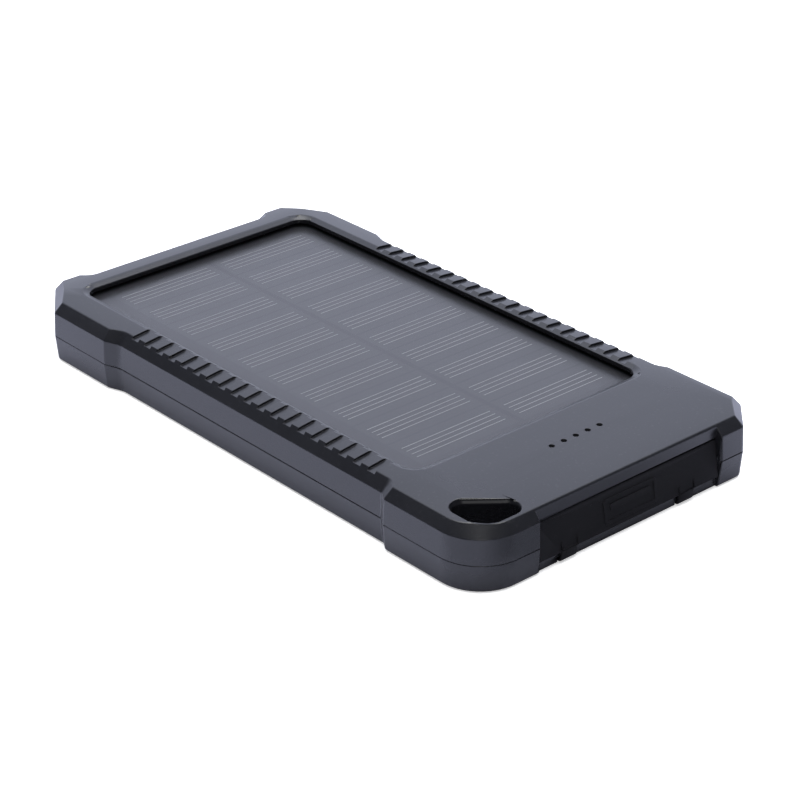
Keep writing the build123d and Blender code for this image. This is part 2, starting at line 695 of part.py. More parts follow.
def port_cover():
    """Rubber flap with its two hinge tabs, socket plugs and raised mark."""
    back = PORT_WALL_Y - FACE_GAP
    left = BAY_LEFT + SEAT_GAP
    right = BAY_RIGHT - SEAT_GAP
    profile = [
        (back, COVER_BASE_Z),
        (back, COVER_TOP_Z - COVER_EDGE),
        (back - COVER_EDGE, COVER_TOP_Z),
        (UPPER_LIP_Y + COVER_EDGE / 2, COVER_TOP_Z),
        (UPPER_LIP_Y, COVER_TOP_Z - COVER_EDGE / 2),
        (COVER_BASE_Y, COVER_BASE_Z),
    ]
    plate = Pos(left, 0, 0) * extrude(
        Plane.YZ * Face(Wire(Polyline(*profile, close=True).edges())), amount=right - left
    )
    tabs = []
    for x in STRAP_X:
        low = HINGE_Z
        high = COVER_BASE_Z + TAB_LAP
        half = STRAP_WIDTH / 2
        front = HINGE_Y - STRAP_THICK / 2
        tabs.append(block(x - half, x + half, front, front + STRAP_THICK, low, high))
        barrel = Cylinder(STRAP_THICK / 2, STRAP_WIDTH)
        tabs.append(Pos(x, HINGE_Y, HINGE_Z) * Rot(0, 90, 0) * barrel)
    plugs = []
    for x, size in receptacles():
        half = size[0] / 2
        low = PCB_TOP_Z
        high = PCB_TOP_Z + size[2]
        tip = back + PLUG_DEPTH
        root = back - PLUG_ROOT
        side = [(root, low), (back, low), (tip, low + PLUG_DRAFT / 3), (tip, high - PLUG_DRAFT)]
        side += [(back, high), (root, high)]
        face = Plane.YZ * Face(Wire(Polyline(*side, close=True).edges()))
        plugs.append(Pos(x - half, 0, 0) * extrude(face, amount=2 * half))
    return plate.fuse(*tabs, *plugs, cover_mark())


def cover_straps():
    """Fixed ends of the two hinge straps, tucked under the lip and anchored through the floor."""
    straps = []
    for x in STRAP_X:
        half = STRAP_WIDTH / 2
        front = HINGE_Y - STRAP_THICK / 2
        top = STRAP_BASE_Z + STRAP_FLAT
        flat = block(x - half, x + half, front, STRAP_END_Y, STRAP_BASE_Z, top)
        root = STRAP_END_Y - ANCHOR_NECK
        neck = block(x - half, x + half, root, STRAP_END_Y, STRAP_BASE_Z, FLOOR + FACE_GAP)
        head_y = STRAP_END_Y - ANCHOR_NECK / 2
        head = centred_block(x, head_y, FLOOR + FACE_GAP, ANCHOR_HEAD)
        straps.append(flat + neck + head)
    return group(straps)


def panel_plate(z0, z1, grow=0.0):
    """Plate with the outline of the solar panel."""
    reach = PANEL_OVERLAP + grow
    return block(
        -WINDOW_HALF_X - reach,
        WINDOW_HALF_X + reach,
        WINDOW_NEAR_Y - reach,
        WINDOW_FAR_Y + reach,
        z0,
        z1,
    )


def panel_tape():
    """Adhesive frame between the panel and the underside of the window rim."""
    inner = PANEL_OVERLAP - TAPE_SETBACK
    hole = block(
        -WINDOW_HALF_X - PANEL_OVERLAP + inner,
        WINDOW_HALF_X + PANEL_OVERLAP - inner,
        WINDOW_NEAR_Y - PANEL_OVERLAP + inner,
        WINDOW_FAR_Y + PANEL_OVERLAP - inner,
        PANEL_TOP_Z - 1,
        TAPE_TOP_Z + 1,
    )
    return panel_plate(PANEL_TOP_Z, TAPE_TOP_Z) - hole


def cell_columns():
    """Both edges in X of each of the two columns of cells."""
    outer = WINDOW_HALF_X - CELL_MARGIN_X
    inner = CELL_COLUMN_GAP / 2
    return ((CELL_CENTRE_X - outer, CELL_CENTRE_X - inner), (CELL_CENTRE_X + inner, CELL_CENTRE_X + outer))


def row_y(row):
    """Centre of one row of cells."""
    return FIRST_ROW_Y - row * CELL_PITCH


def solar_cells():
    """Twenty strip cells in two columns."""
    cells = []
    half = (CELL_PITCH - CELL_GAP) / 2
    for row in range(CELL_ROWS):
        for x0, x1 in cell_columns():
            cells.append(block(x0, x1, row_y(row) - half, row_y(row) + half, CELL_Z, CELL_Z + CELL_THICK))
    return group(cells)


def panel_board():
    """Backing board with every cell let flush into its face."""
    return panel_plate(PANEL_BACK_Z, CELL_Z + CELL_THICK).cut(*solar_cells().solids())


def cell_fingers():
    """Printed silver fingers: four fine lines on every cell."""
    lines = []
    z0 = CELL_Z + CELL_THICK
    for row in range(CELL_ROWS):
        for x0, x1 in cell_columns():
            for line in range(FINGERS_PER_CELL):
                y = row_y(row) + ((FINGERS_PER_CELL - 1) / 2 - line) * FINGER_PITCH
                inner = FINGER_INSET
                y0 = y - FINGER_WIDTH / 2
                y1 = y + FINGER_WIDTH / 2
                lines.append(block(x0 + inner, x1 - inner, y0, y1, z0, z0 + FINGER_THICK))
    return group(lines)


def light_guide():
    """Clear guide: a bar under the ceiling with one rod through each hole."""
    top = crown_height(0) - LED_RECESS
    bar = centred_block(LED_CENTRE_X, LED_Y, CEILING_Z - FACE_GAP - GUIDE_BAR[2], GUIDE_BAR)
    rods = []
    for index in range(LED_COUNT):
        low = PCB_TOP_Z + LED_SIZE[2] + LED_TO_ROD
        rods.append(rod(led_x(index), LED_Y, low, top, GUIDE_ROD))
    return bar.fuse(*rods)


def indicator_leds():
    """Chip LEDs on the board, one under each rod."""
    return group([centred_block(led_x(index), LED_Y, PCB_TOP_Z, LED_SIZE) for index in range(LED_COUNT)])


def main_board():
    """Circuit board with a wing that carries the button switch."""
    board = block(PCB_LEFT, PCB_RIGHT, PCB_FRONT_Y, PCB_BACK_Y, PCB_Z, PCB_TOP_Z)
    wing_front = BUTTON_Y - WING_AHEAD
    wing_back = BUTTON_Y + WING_BEHIND
    wing = block(PCB_RIGHT - CUT_OVERRUN, WING_RIGHT, wing_front, wing_back, PCB_Z, PCB_TOP_Z)
    holes = [rod(x, y, 0, TALL, PCB_SCREW_SHANK + SLIDE_GAP) for x, y in board_screw_places()]
    return (board + wing).cut(*holes)


def cross_screw(x, y, seat, shank_end, shank, head, head_high, slot):
    """Cross-recessed screw with its head on one height and its shank end at another."""
    up = 1 if shank_end > seat else -1
    head_end = seat - up * head_high
    body = rod(x, y, min(seat, head_end), max(seat, head_end), head)
    body = body + rod(x, y, min(seat, shank_end), max(seat, shank_end), shank)
    low = min(head_end, head_end + up * slot[2])
    arms = []
    for angle in (0, 90):
        arm = Pos(x, y, low + slot[2] / 2) * Rot(0, 0, angle) * Box(slot[0], slot[1], slot[2])
        arms.append(arm)
    return body.cut(*arms)


def case_screws():
    """Six self-tapping screws driven from below."""
    screws = []
    for x, y in BOSSES:
        end = SCREW_SEAT_Z + SCREW_LENGTH
        screws.append(
            cross_screw(x, y, SCREW_SEAT_Z, end, SCREW_SHANK, SCREW_HEAD, SCREW_HEAD_HIGH, SCREW_SLOT)
        )
    return group(screws)


def board_screws():
    """Screws that hold the circuit board on its posts."""
    screws = []
    end = PCB_Z - PCB_SCREW_DEPTH
    head = PCB_SCREW_HEAD
    for x, y in board_screw_places():
        screws.append(
            cross_screw(x, y, PCB_TOP_Z, end, PCB_SCREW_SHANK, head, PCB_SCREW_HEAD_HIGH, PCB_SCREW_SLOT)
        )
    return group(screws)


def socket_shell(x, size):
    """Folded sheet shell of a receptacle, open at the front."""
    outer = Pos(x, USB_FRONT_Y + size[1] / 2, PCB_TOP_Z + size[2] / 2) * Box(*size)
    inner_size = (size[0] - 2 * SHEET, size[1], size[2] - 2 * SHEET)
    inner = Pos(x, USB_FRONT_Y + size[1] / 2 - SHEET, PCB_TOP_Z + size[2] / 2) * Box(*inner_size)
    return outer - inner


def usb_a_insulator(x):
    """Block at the back of the receptacle with the contact tongue in front of it."""
    inner_back = USB_FRONT_Y + USB_A[1] - SHEET
    low = PCB_TOP_Z + SHEET
    high = PCB_TOP_Z + USB_A[2] - SHEET
    half = USB_A[0] / 2 - SHEET
    front = USB_FRONT_Y + USB_TONGUE_SETBACK
    root = front + USB_TONGUE[1]
    back = block(x - half, x + half, root, inner_back, low, high)
    top = high - USB_TONGUE_DROP
    half_tongue = USB_TONGUE[0] / 2
    tongue = block(x - half_tongue, x + half_tongue, front, root, top - USB_TONGUE[2], top)
    return back + tongue


def usb_a_contacts():
    """Four spring contact strips under each tongue."""
    strips = []
    tongue_low = PCB_TOP_Z + USB_A[2] - SHEET - USB_TONGUE_DROP - USB_TONGUE[2]
    y = USB_FRONT_Y + USB_TONGUE_SETBACK + USB_TONGUE[1] - CONTACT[1] / 2
    for x in USB_A_X:
        for index in range(CONTACT_COUNT):
            centre = x + (index - (CONTACT_COUNT - 1) / 2) * CONTACT_PITCH
            strips.append(centred_block(centre, y, tongue_low - CONTACT[2], CONTACT))
    return group(strips)


def micro_usb_tongue():
    """Insulator and tongue of the charging inlet."""
    inner_back = USB_FRONT_Y + MICRO_USB[1] - SHEET
    low = PCB_TOP_Z + SHEET
    high = PCB_TOP_Z + MICRO_USB[2] - SHEET
    half = MICRO_USB[0] / 2 - SHEET
    front = USB_FRONT_Y + MICRO_TONGUE_SETBACK
    root = front + MICRO_TONGUE[1]
    back = block(BAY_CENTRE_X - half, BAY_CENTRE_X + half, root, inner_back, low, high)
    middle = (low + high) / 2
    half_tongue = MICRO_TONGUE[0] / 2
    tongue = block(
        BAY_CENTRE_X - half_tongue,
        BAY_CENTRE_X + half_tongue,
        front,
        root,
        middle - MICRO_TONGUE[2] / 2,
        middle + MICRO_TONGUE[2] / 2,
    )
    return back + tongue


def inductor():
    """Shielded power inductor with broken upright edges."""
    body = centred_block(*on_board(*INDUCTOR_OFFSET), PCB_TOP_Z, INDUCTOR)
    return fillet(body.edges().filter_by(Axis.Z), INDUCTOR_EDGE)


def chips():
    """Controller chips lying on the main board."""
    bodies = []
    for offset_x, offset_y, length, width in CHIPS:
        bodies.append(centred_block(*on_board(offset_x, offset_y), PCB_TOP_Z, (length, width, CHIP_THICK)))
    return group(bodies)


def capacitors():
    """Chip capacitors lying on the main board."""
    return group([centred_block(*on_board(*offset), PCB_TOP_Z, CAPACITOR) for offset in CAPACITOR_OFFSETS])


def power_button():
    """Button cap with a retaining flange inside the wall and a stem to the switch."""
    flange_out = HALF_W - WALL - SLIDE_GAP
    flange_in = flange_out - BUTTON_FLANGE
    cap = wall_block(flange_in, HALF_W - BUTTON_DISH + BUTTON_PROUD, 0)
    cap = fillet(cap.faces().sort_by(Axis.X)[-1].edges(), BUTTON_EDGE)
    flange = wall_block(flange_in, flange_out, BUTTON_FLANGE_LIP)
    half = BUTTON_STEM / 2
    stem = block(STEM_X, flange_in, BUTTON_Y - half, BUTTON_Y + half, SEAM_Z - half, SEAM_Z + half)
    return cap + flange + stem


def switch_plunger():
    """Plunger of the tact switch, which moves with the button."""
    back = STEM_X - PLUNGER[0]
    half_y = PLUNGER[1] / 2
    half_z = PLUNGER[2] / 2
    return block(back, STEM_X, BUTTON_Y - half_y, BUTTON_Y + half_y, SEAM_Z - half_z, SEAM_Z + half_z)


def tact_switch():
    """Side-acting switch body with a socket for its plunger."""
    front = STEM_X - PLUNGER_PROUD
    height = 2 * (SEAM_Z - PCB_TOP_Z - SWITCH_HEADROOM)
    size = (SWITCH_DEPTH, SWITCH_WIDTH, height)
    body = centred_block(front - SWITCH_DEPTH / 2, BUTTON_Y, PCB_TOP_Z, size)
    half_y = PLUNGER[1] / 2 + SLIDE_GAP
    half_z = PLUNGER[2] / 2 + SLIDE_GAP
    back = STEM_X - PLUNGER[0] - BUTTON_TRAVEL - SLIDE_GAP
    socket = block(back, front + 1, BUTTON_Y - half_y, BUTTON_Y + half_y, SEAM_Z - half_z, SEAM_Z + half_z)
    return body - socket


def battery_cell():
    """Pouch cell with soft upright edges and a stepped terrace at its terminal end."""
    size = (BATTERY_WIDTH, BATTERY_LENGTH, BATTERY_HEIGHT)
    body = centred_block(0, BATTERY_Y, BATTERY_Z, size)
    body = fillet(body.edges().filter_by(Axis.Y), BATTERY_RADIUS)
    half = BATTERY_WIDTH / 2 + CUT_OVERRUN
    step = BATTERY_Z + BATTERY_HEIGHT / 2
    terrace = block(-half, half, BATTERY_NEAR_Y - CUT_OVERRUN, BATTERY_NEAR_Y + TERRACE, step, TALL)
    return body - terrace


def pcm_board():
    """Protection board lying just above the terrace of the cell."""
    return centred_block(0, BATTERY_NEAR_Y + TERRACE / 2, BATTERY_Z + BATTERY_HEIGHT / 2 + LAP_GAP, PCM_BOARD)


def battery_pads():
    """Two adhesive strips under the cell."""
    size = (BATTERY_PAD_WIDTH, BATTERY_LENGTH - 2 * BATTERY_PAD_MARGIN, BATTERY_PAD)
    return group([centred_block(side * BATTERY_WIDTH / 4, BATTERY_Y, FLOOR, size) for side in (-1, 1)])


def battery_foam():
    """Foam pad between the cell and the back of the panel."""
    size = (BATTERY_WIDTH - 2 * FOAM_MARGIN_X, BATTERY_LENGTH - 2 * FOAM_MARGIN_Y, FOAM_THICK)
    return centred_block(0, BATTERY_Y + FOAM_SHIFT, BATTERY_Z + BATTERY_HEIGHT, size)


def lead(points):
    """Insulated wire along a smooth path."""
    path = Spline(*points)
    section = Plane(origin=path @ 0, z_dir=path % 0) * Circle(LEAD_RADIUS)
    return sweep(section, path=path)


def lead_pair(offsets, stations):
    """Two leads side by side through the same stations, given as (y, z)."""
    wires = []
    for offset in offsets:
        x = BAY_CENTRE_X + offset
        wires.append(lead([(x, y, z) for y, z in stations]))
    return group(wires)


def battery_leads():
    """Pair of leads from the protection board down to the main board."""
    high = BATTERY_Z + BATTERY_HEIGHT / 2 + LAP_GAP + PCM_BOARD[2] + LEAD_RADIUS
    low = PCB_TOP_Z + LEAD_RADIUS + LEAD_SINK
    stations = [
        (BATTERY_NEAR_Y + LEAD_START, high),
        (BATTERY_NEAR_Y - LEAD_BEND, high - LEAD_SAG),
        ((BATTERY_NEAR_Y + PCB_BACK_Y) / 2 - LEAD_LEAN, (high + low) / 2),
        (PCB_BACK_Y - LEAD_LANDING, low + LEAD_LIFT),
        (PCB_BACK_Y - LEAD_END, low),
    ]
    return lead_pair(BATTERY_LEAD_OFFSETS, stations)


def solar_leads():
    """Pair of leads from the back of the panel down to the main board."""
    high = PANEL_BACK_Z - LEAD_RADIUS - LEAD_SINK
    low = PCB_TOP_Z + LEAD_RADIUS + LEAD_SINK
    stations = [
        (WINDOW_NEAR_Y + SOLAR_LEAD_START, high),
        (WINDOW_NEAR_Y, high - SOLAR_LEAD_SAG),
        (WINDOW_NEAR_Y - SOLAR_LEAD_DROP, (high + low) / 2),
        (WINDOW_NEAR_Y - SOLAR_LEAD_LANDING, low + SOLAR_LEAD_LIFT),
        (WINDOW_NEAR_Y - SOLAR_LEAD_END, low),
    ]
    return lead_pair(SOLAR_LEAD_OFFSETS, stations)


save("upper_case", upper_case())
save("lower_case", lower_case())
save("port_cover", port_cover())
save("cover_straps", cover_straps())
save("panel_laminate", panel_plate(PANEL_TOP_Z - LAMINATE_THICK, PANEL_TOP_Z))
save("panel_tape", panel_tape())
save("solar_cells", solar_cells())
save("cell_fingers", cell_fingers())
save("panel_board", panel_board())
save("light_guide", light_guide())
save("indicator_leds", indicator_leds())
save("main_board", main_board())
save("board_screws", board_screws())
save("case_screws", case_screws())
save("usb_a_shells", group([socket_shell(x, USB_A) for x in USB_A_X]))
save("usb_a_insulators", group([usb_a_insulator(x) for x in USB_A_X]))
save("usb_a_contacts", usb_a_contacts())
save("micro_usb_shell", socket_shell(BAY_CENTRE_X, MICRO_USB))
save("micro_usb_tongue", micro_usb_tongue())
save("power_inductor", inductor())
save("controller_chips", chips())
save("chip_capacitors", capacitors())
save("tact_switch", tact_switch())
save("switch_plunger", switch_plunger())
save("power_button", power_button())
save("battery_cell", battery_cell())
save("battery_pcm", pcm_board())
save("battery_pads", battery_pads())
save("battery_foam", battery_foam())
save("battery_leads", battery_leads())
save("solar_leads", solar_leads())
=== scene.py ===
"""Looks of a rugged solar power bank: moulded case, port cover, panel, sockets and inner parts.

Metres, +Z up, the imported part's own frame. Run it as a script.
"""

from math import cos, radians, sin

import bmesh
import bpy
from bpy.props import FloatProperty, FloatVectorProperty, IntProperty, PointerProperty
from bpy.types import Operator, Panel, PropertyGroup
from mathutils import Matrix, Vector
from mathutils.bvhtree import BVHTree


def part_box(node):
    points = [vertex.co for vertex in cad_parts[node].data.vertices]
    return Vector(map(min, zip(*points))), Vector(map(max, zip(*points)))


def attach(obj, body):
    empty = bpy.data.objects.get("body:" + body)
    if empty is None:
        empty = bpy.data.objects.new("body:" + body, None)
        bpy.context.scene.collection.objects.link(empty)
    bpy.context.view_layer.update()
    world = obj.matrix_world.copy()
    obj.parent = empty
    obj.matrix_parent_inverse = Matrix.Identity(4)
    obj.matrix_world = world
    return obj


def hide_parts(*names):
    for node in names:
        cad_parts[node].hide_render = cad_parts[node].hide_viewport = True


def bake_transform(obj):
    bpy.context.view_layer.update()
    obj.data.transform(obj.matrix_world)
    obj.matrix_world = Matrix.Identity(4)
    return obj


bl_info = {
    "name": "Rugged Solar Power Bank",
    "version": (1, 0, 0),
    "blender": (4, 5, 0),
    "location": "3D View > Sidebar > Power Bank",
    "description": "Finishes and detail pieces for a rugged solar power bank",
    "category": "Object",
}

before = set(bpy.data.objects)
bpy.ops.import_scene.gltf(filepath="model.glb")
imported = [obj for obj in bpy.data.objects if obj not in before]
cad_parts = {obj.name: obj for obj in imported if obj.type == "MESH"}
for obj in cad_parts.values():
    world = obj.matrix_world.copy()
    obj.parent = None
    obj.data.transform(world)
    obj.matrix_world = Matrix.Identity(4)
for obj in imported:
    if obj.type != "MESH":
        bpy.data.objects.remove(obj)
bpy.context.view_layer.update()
MM = 0.001

# Port cover and its two hinge straps
COVER_BASE_Z = 2.4 * MM
TAB_LAP = 0.4 * MM
HINGE_Y = -70.2 * MM
STRAP_X = (-14.9 * MM, 16.3 * MM)
STRAP_WIDTH = 4.0 * MM
STRAP_THICK = 0.8 * MM
STRAP_FLAT = 0.6 * MM
STRAP_BASE_Z = 0.15 * MM
STRAP_END_Y = -64.6 * MM
STRAP_ANCHOR = 3.0 * MM
STRAP_HALF_SECTION = ((-1, -0.55), (-0.93, -1), (0.93, -1), (1, -0.55))
STRAP_SECTION = STRAP_HALF_SECTION + tuple((-across, -through) for across, through in STRAP_HALF_SECTION)
HINGE_STEPS = 6
RISE_STEPS = 5
MARK_LOW_Z = 3.2 * MM
MARK_HIGH_Z = 8.8 * MM
MARK_SHARE = 0.3

# Where the shells' edges are rounded, and by what share of the widest rounding
SEAM_BAND = 0.3 * MM
RIM_BAND = 0.4 * MM
INDICATOR_BAND = 0.8 * MM
GROOVE_BAND = 6.0 * MM
GROOVE_NEAR_Y = -40.6 * MM
GROOVE_FAR_Y = 36.4 * MM
CORNER_BAND = 3.0 * MM
RIM_SHARE = 1.0
CORNER_SHARE = 0.6
EDGE_SHARE = 0.4
GROOVE_SHARE = 0.1

# How shapes are cleaned, and which of their edges are rounded
WELD_DISTANCE = 0.001 * MM
FLAT_ANGLE = radians(0.05)
CORNER_ANGLE = radians(20)
CREASE_ANGLE = radians(32)
PROBE_LIFT = 0.05 * MM

# How a finish varies over a piece: factors on its base colour, and lifts added to it
PATCH_DARK = 0.85
PATCH_LIGHT = (1.25, 0.002)
WORN_LIGHT = (1.8, 0.004)
METAL_DARK = 0.82
METAL_WORN = (1.3, 0.03)
COPPER_LIGHT = (2.1, 0.006)
MASK_DARK = 0.8
# Painted shade inside the foam's pores
PORE_SHADE = 0.35
DUST_COLOR = (0.45, 0.45, 0.47, 1)
WORN_POLISH = 0.05
METAL_CLOUD = 0.16
PATCH_RANGE = (0.3, 0.7)
PIT_SCALE = 0.35
PORE_GRAIN = 0.35
SPECK_RANGE = (0.62, 0.8)
TRACK_LAYOUT = {"offset": 0.37, "squash": 0.6, "squash_frequency": 3}
TRACK_SCALE = 0.25
TRACK_WIDTH = 0.035
TRACK_BLUR = 0.1
TRACK_GRAIN = 0.15

# Clear laminate
FILM_TINT = (0.965, 0.965, 0.965, 1)
FILM_IOR = 1.5
FILM_SPREAD = 0.03

# Floor, surroundings and lights
FLOOR_DROP = 0.02 * MM
FLOOR_WHITE = (0.92, 0.92, 0.93, 1)
# Floor colours seen only in reflections: a painted reflection tint, and painted shade around a spot ahead of
# the ports
FLOOR_PAINTED_REFLECTION = (0.74, 0.76, 0.92, 1)
FLOOR_PAINTED_SHADE = (0.26, 0.27, 0.33, 1)
FLOOR_GLOW = 0.5
SHADE_SPOT_FADE = (30 * MM, 52 * MM)
ROOM_DARK = (0.07, 0.07, 0.08, 1)
ROOM_BRIGHT = (1.25, 1.32, 1.62, 1)
ROOM_CENTRE = (0.62, 0.66, 0.42)
ROOM_FADE = (0.35, 0.85)
SOFTBOXES = (
    ("overhead", (0.0, 0.0, 1.3), 1.4, 26.0),
    ("front_fill", (-1.0, -1.2, 0.9), 0.9, 3.0),
)
CLIP_NEAR = 10 * MM
CLIP_FAR = 20.0


# ---------------------------------------------------------------- sizes and colours


def color_property(name, description, default):
    """Colour setting with the limits every colour shares."""
    return FloatVectorProperty(
        name=name, description=description, subtype="COLOR", size=3, min=0, max=1, default=default
    )


def share_property(name, description, default):
    """Setting between nothing and the whole."""
    return FloatProperty(name=name, description=description, subtype="FACTOR", min=0, max=1, default=default)


def length_property(name, description, default):
    """Setting that is a length."""
    return FloatProperty(name=name, description=description, unit="LENGTH", default=default)


def steps_property(default):
    """Number of segments across a rounded edge."""
    return IntProperty(
        name="Edge steps", description="Segments across a rounded edge", default=default, min=1, max=6
    )


class CaseSettings(PropertyGroup):
    """Moulded case shells."""

    color: color_property("Plastic colour", "Base colour of the moulded case", (0.0075, 0.0080, 0.0105))
    roughness: share_property("Roughness", "Mean roughness of the case", 0.30)
    grain: length_property("Grain size", "Size of one grain of the mould texture", 0.35 * MM)
    rim_width: length_property("Rim rounding", "Widest rounding, at the window rim", 0.5 * MM)
    edge_steps: steps_property(3)


class RubberSettings(PropertyGroup):
    """Port cover and hinge straps."""

    color: color_property("Rubber colour", "Base colour of the port cover", (0.0070, 0.0070, 0.0088))
    roughness: share_property("Roughness", "Mean roughness of the rubber", 0.6)
    edge_radius: length_property("Edge radius", "Rounding of the cover's edges", 0.22 * MM)
    edge_steps: steps_property(3)
    hinge_radius: length_property("Hinge radius", "Bend of the living hinges, along their middle", 0.75 * MM)


class PanelSettings(PropertyGroup):
    """Solar panel under its laminate."""

    cell_color: color_property("Cell colour", "Base colour of the silicon cells", (0.0095, 0.0100, 0.0115))
    backing_color: color_property("Backing colour", "Board seen between the cells", (0.0112, 0.0116, 0.0140))
    print_color: color_property("Print colour", "Silver printed on the cells", (0.18, 0.18, 0.185))
    film_gloss: share_property("Film gloss", "Part of the gloss carried by the outer film", 0.04)
    laminate_roughness: share_property("Laminate roughness", "Roughness of the clear laminate", 0.3)


class ButtonSettings(PropertyGroup):
    """Power button cap."""

    color: color_property("Button colour", "Base colour of the button", (0.006, 0.006, 0.008))
    roughness: share_property("Roughness", "Mean roughness of the button", 0.4)
    edge_radius: length_property("Edge radius", "Rounding of the cap", 0.25 * MM)
    edge_steps: steps_property(3)


class IndicatorSettings(PropertyGroup):
    """Light guide and LEDs."""

    guide_color: color_property("Guide colour", "Tint of the light guide", (0.20, 0.20, 0.22))
    guide_roughness: share_property("Roughness", "Roughness of the guide", 0.35)
    clearness: share_property("Clearness", "Share of light the guide lets in", 0.6)
    led_color: color_property("LED colour", "Resin of the unlit LEDs", (0.62, 0.56, 0.24))


class SocketSettings(PropertyGroup):
    """Socket shells and tongues."""

    steel_color: color_property("Steel colour", "Colour of the socket shells", (0.66, 0.66, 0.65))
    steel_roughness: share_property("Roughness", "Roughness of the shells", 0.28)
    tongue_color: color_property("Tongue colour", "Colour of the plastic tongues", (0.010, 0.010, 0.011))
    edge_radius: length_property("Edge radius", "Rounding of the shells", 0.06 * MM)
    edge_steps: steps_property(2)


class ElectronicsSettings(PropertyGroup):
    """Circuit boards."""

    mask_color: color_property("Solder mask", "Colour of the solder mask", (0.008, 0.065, 0.022))
    track_size: length_property("Track size", "Spacing of the copper tracks", 0.8 * MM)


class BatterySettings(PropertyGroup):
    """Pouch cell."""

    foil_color: color_property("Foil colour", "Colour of the pouch foil", (0.68, 0.69, 0.70))
    foil_roughness: share_property("Roughness", "Roughness of the foil", 0.38)
    wrinkle_size: length_property("Wrinkle size", "Size of the foil's wrinkles", 4 * MM)
    edge_radius: length_property("Edge radius", "Rounding of the pouch", 0.8 * MM)
    edge_steps: steps_property(3)
    plus_color: color_property("Plus lead", "Sleeve of the plus leads", (0.35, 0.012, 0.010))
    minus_color: color_property("Minus lead", "Sleeve of the minus leads", (0.010, 0.010, 0.011))


class FastenerSettings(PropertyGroup):
    """Case screws."""

    color: color_property("Screw colour", "Colour of the black oxide", (0.055, 0.055, 0.058))
    roughness: share_property("Roughness", "Roughness of the screws", 0.42)
    edge_radius: length_property("Edge radius", "Rounding of the heads", 0.1 * MM)
    edge_steps: steps_property(2)


class StageSettings(PropertyGroup):
    """Camera, floor and lights."""

    azimuth: FloatProperty(
        name="Azimuth", description="Camera angle round the part", default=radians(-41.07), subtype="ANGLE"
    )
    elevation: FloatProperty(
        name="Elevation", description="Camera angle above the floor", default=radians(27.46), subtype="ANGLE"
    )
    roll: FloatProperty(name="Roll", description="Camera roll", default=radians(-0.41), subtype="ANGLE")
    distance: length_property("Distance", "Camera distance from its target", 485.7 * MM)
    target: FloatVectorProperty(
        name="Target",
        description="Point the camera looks at",
        subtype="TRANSLATION",
        unit="LENGTH",
        default=(-4.80 * MM, -12.21 * MM, 6.90 * MM),
    )
    # Centre of the painted shade: the floor shows darker here in reflections only, which darkens the port end
    painted_shade_spot: FloatVectorProperty(
        name="Dark patch",
        description="Place on the floor whose mirror image darkens the port end",
        size=2,
        unit="LENGTH",
        default=(-2 * MM, -105 * MM),
    )
    lens: FloatProperty(name="Lens", description="Focal length", default=109.39, min=10, unit="CAMERA")
    floor_size: length_property("Floor size", "Side of the square floor", 6.0)


# ---------------------------------------------------------------- shader helpers


def new_group(name, inputs, outputs):
    """Empty shader node group with its sockets; returns the tree, its input node and its output node."""
    tree = bpy.data.node_groups.new(name, "ShaderNodeTree")
    for label, kind, value in inputs:
        socket = tree.interface.new_socket(name=label, in_out="INPUT", socket_type=kind)
        if value is not None:
            socket.default_value = value
    for label, kind in outputs:
        tree.interface.new_socket(name=label, in_out="OUTPUT", socket_type=kind)
    return tree, tree.nodes.new("NodeGroupInput"), tree.nodes.new("NodeGroupOutput")


def add(tree, kind, settings=None, **inputs):
    """New node with its settings and its inputs, each either a value or a socket to link from."""
    node = tree.nodes.new(kind)
    for key, value in (settings or {}).items():
        setattr(node, key, value)
    for key, value in inputs.items():
        numbered = key[0] == "i" and key[1:].isdigit()
        socket = node.inputs[int(key[1:]) if numbered else key.replace("_", " ")]
        if isinstance(value, bpy.types.NodeSocket):
            tree.links.new(value, socket)
        else:
            socket.default_value = value
    return node


def calc(tree, operation, first, second):
    """One sum of two values or sockets; returns its value socket."""
    return add(tree, "ShaderNodeMath", {"operation": operation}, i0=first, i1=second).outputs[0]


def mixed(tree, share, first, second):
    """Two colours mixed by a share; returns the colour socket."""
    return add(tree, "ShaderNodeMix", {"data_type": "RGBA"}, i0=share, i6=first, i7=second).outputs[2]


def remap(tree, value, low, high, start=0.0, end=1.0):
    """Value moved from one range to another; returns its value socket."""
    node = add(tree, "ShaderNodeMapRange", Value=value, From_Min=start, From_Max=end, To_Min=low, To_Max=high)
    return node.outputs[0]


def tint(color, factor, lift=0.0):
    """Opaque colour scaled and lifted from another one."""
    return (*(min(channel * factor + lift, 1) for channel in color), 1)


def raise_bump(tree, shader, height, strength, distance):
    """Lets a height show on a shader as bump."""
    bump = add(tree, "ShaderNodeBump", Strength=strength, Distance=distance, Height=height)
    tree.links.new(bump.outputs[0], shader.inputs["Normal"])


def set_inputs(shader, values):
    """Sets plain values on a shader's own sockets."""
    for socket, value in values.items():
        shader.inputs[socket.replace("_", " ")].default_value = value


def grain_group():
    """Fine moulded texture: a height, and a soft variation for roughness and colour."""
    tree, start, end = new_group(
        "moulded_grain",
        (("Grain Size", "NodeSocketFloat", 0.0004), ("Patch Size", "NodeSocketFloat", 0.02)),
        (("Height", "NodeSocketFloat"), ("Patches", "NodeSocketFloat"), ("Speckle", "NodeSocketFloat")),
    )
    place = add(tree, "ShaderNodeTexCoord").outputs["Object"]
    fine = calc(tree, "DIVIDE", 1.0, start.outputs["Grain Size"])
    wide = calc(tree, "DIVIDE", 1.0, start.outputs["Patch Size"])
    bumps = add(tree, "ShaderNodeTexNoise", Vector=place, Scale=fine, Detail=2.0, Roughness=0.6)
    patches = add(tree, "ShaderNodeTexNoise", Vector=place, Scale=wide, Detail=3.0, Roughness=0.55)
    pits = add(tree, "ShaderNodeTexVoronoi", Vector=place, Scale=calc(tree, "MULTIPLY", fine, PIT_SCALE))
    tree.links.new(bumps.outputs[0], end.inputs["Height"])
    tree.links.new(patches.outputs[0], end.inputs["Patches"])
    tree.links.new(pits.outputs["Distance"], end.inputs["Speckle"])
    return tree


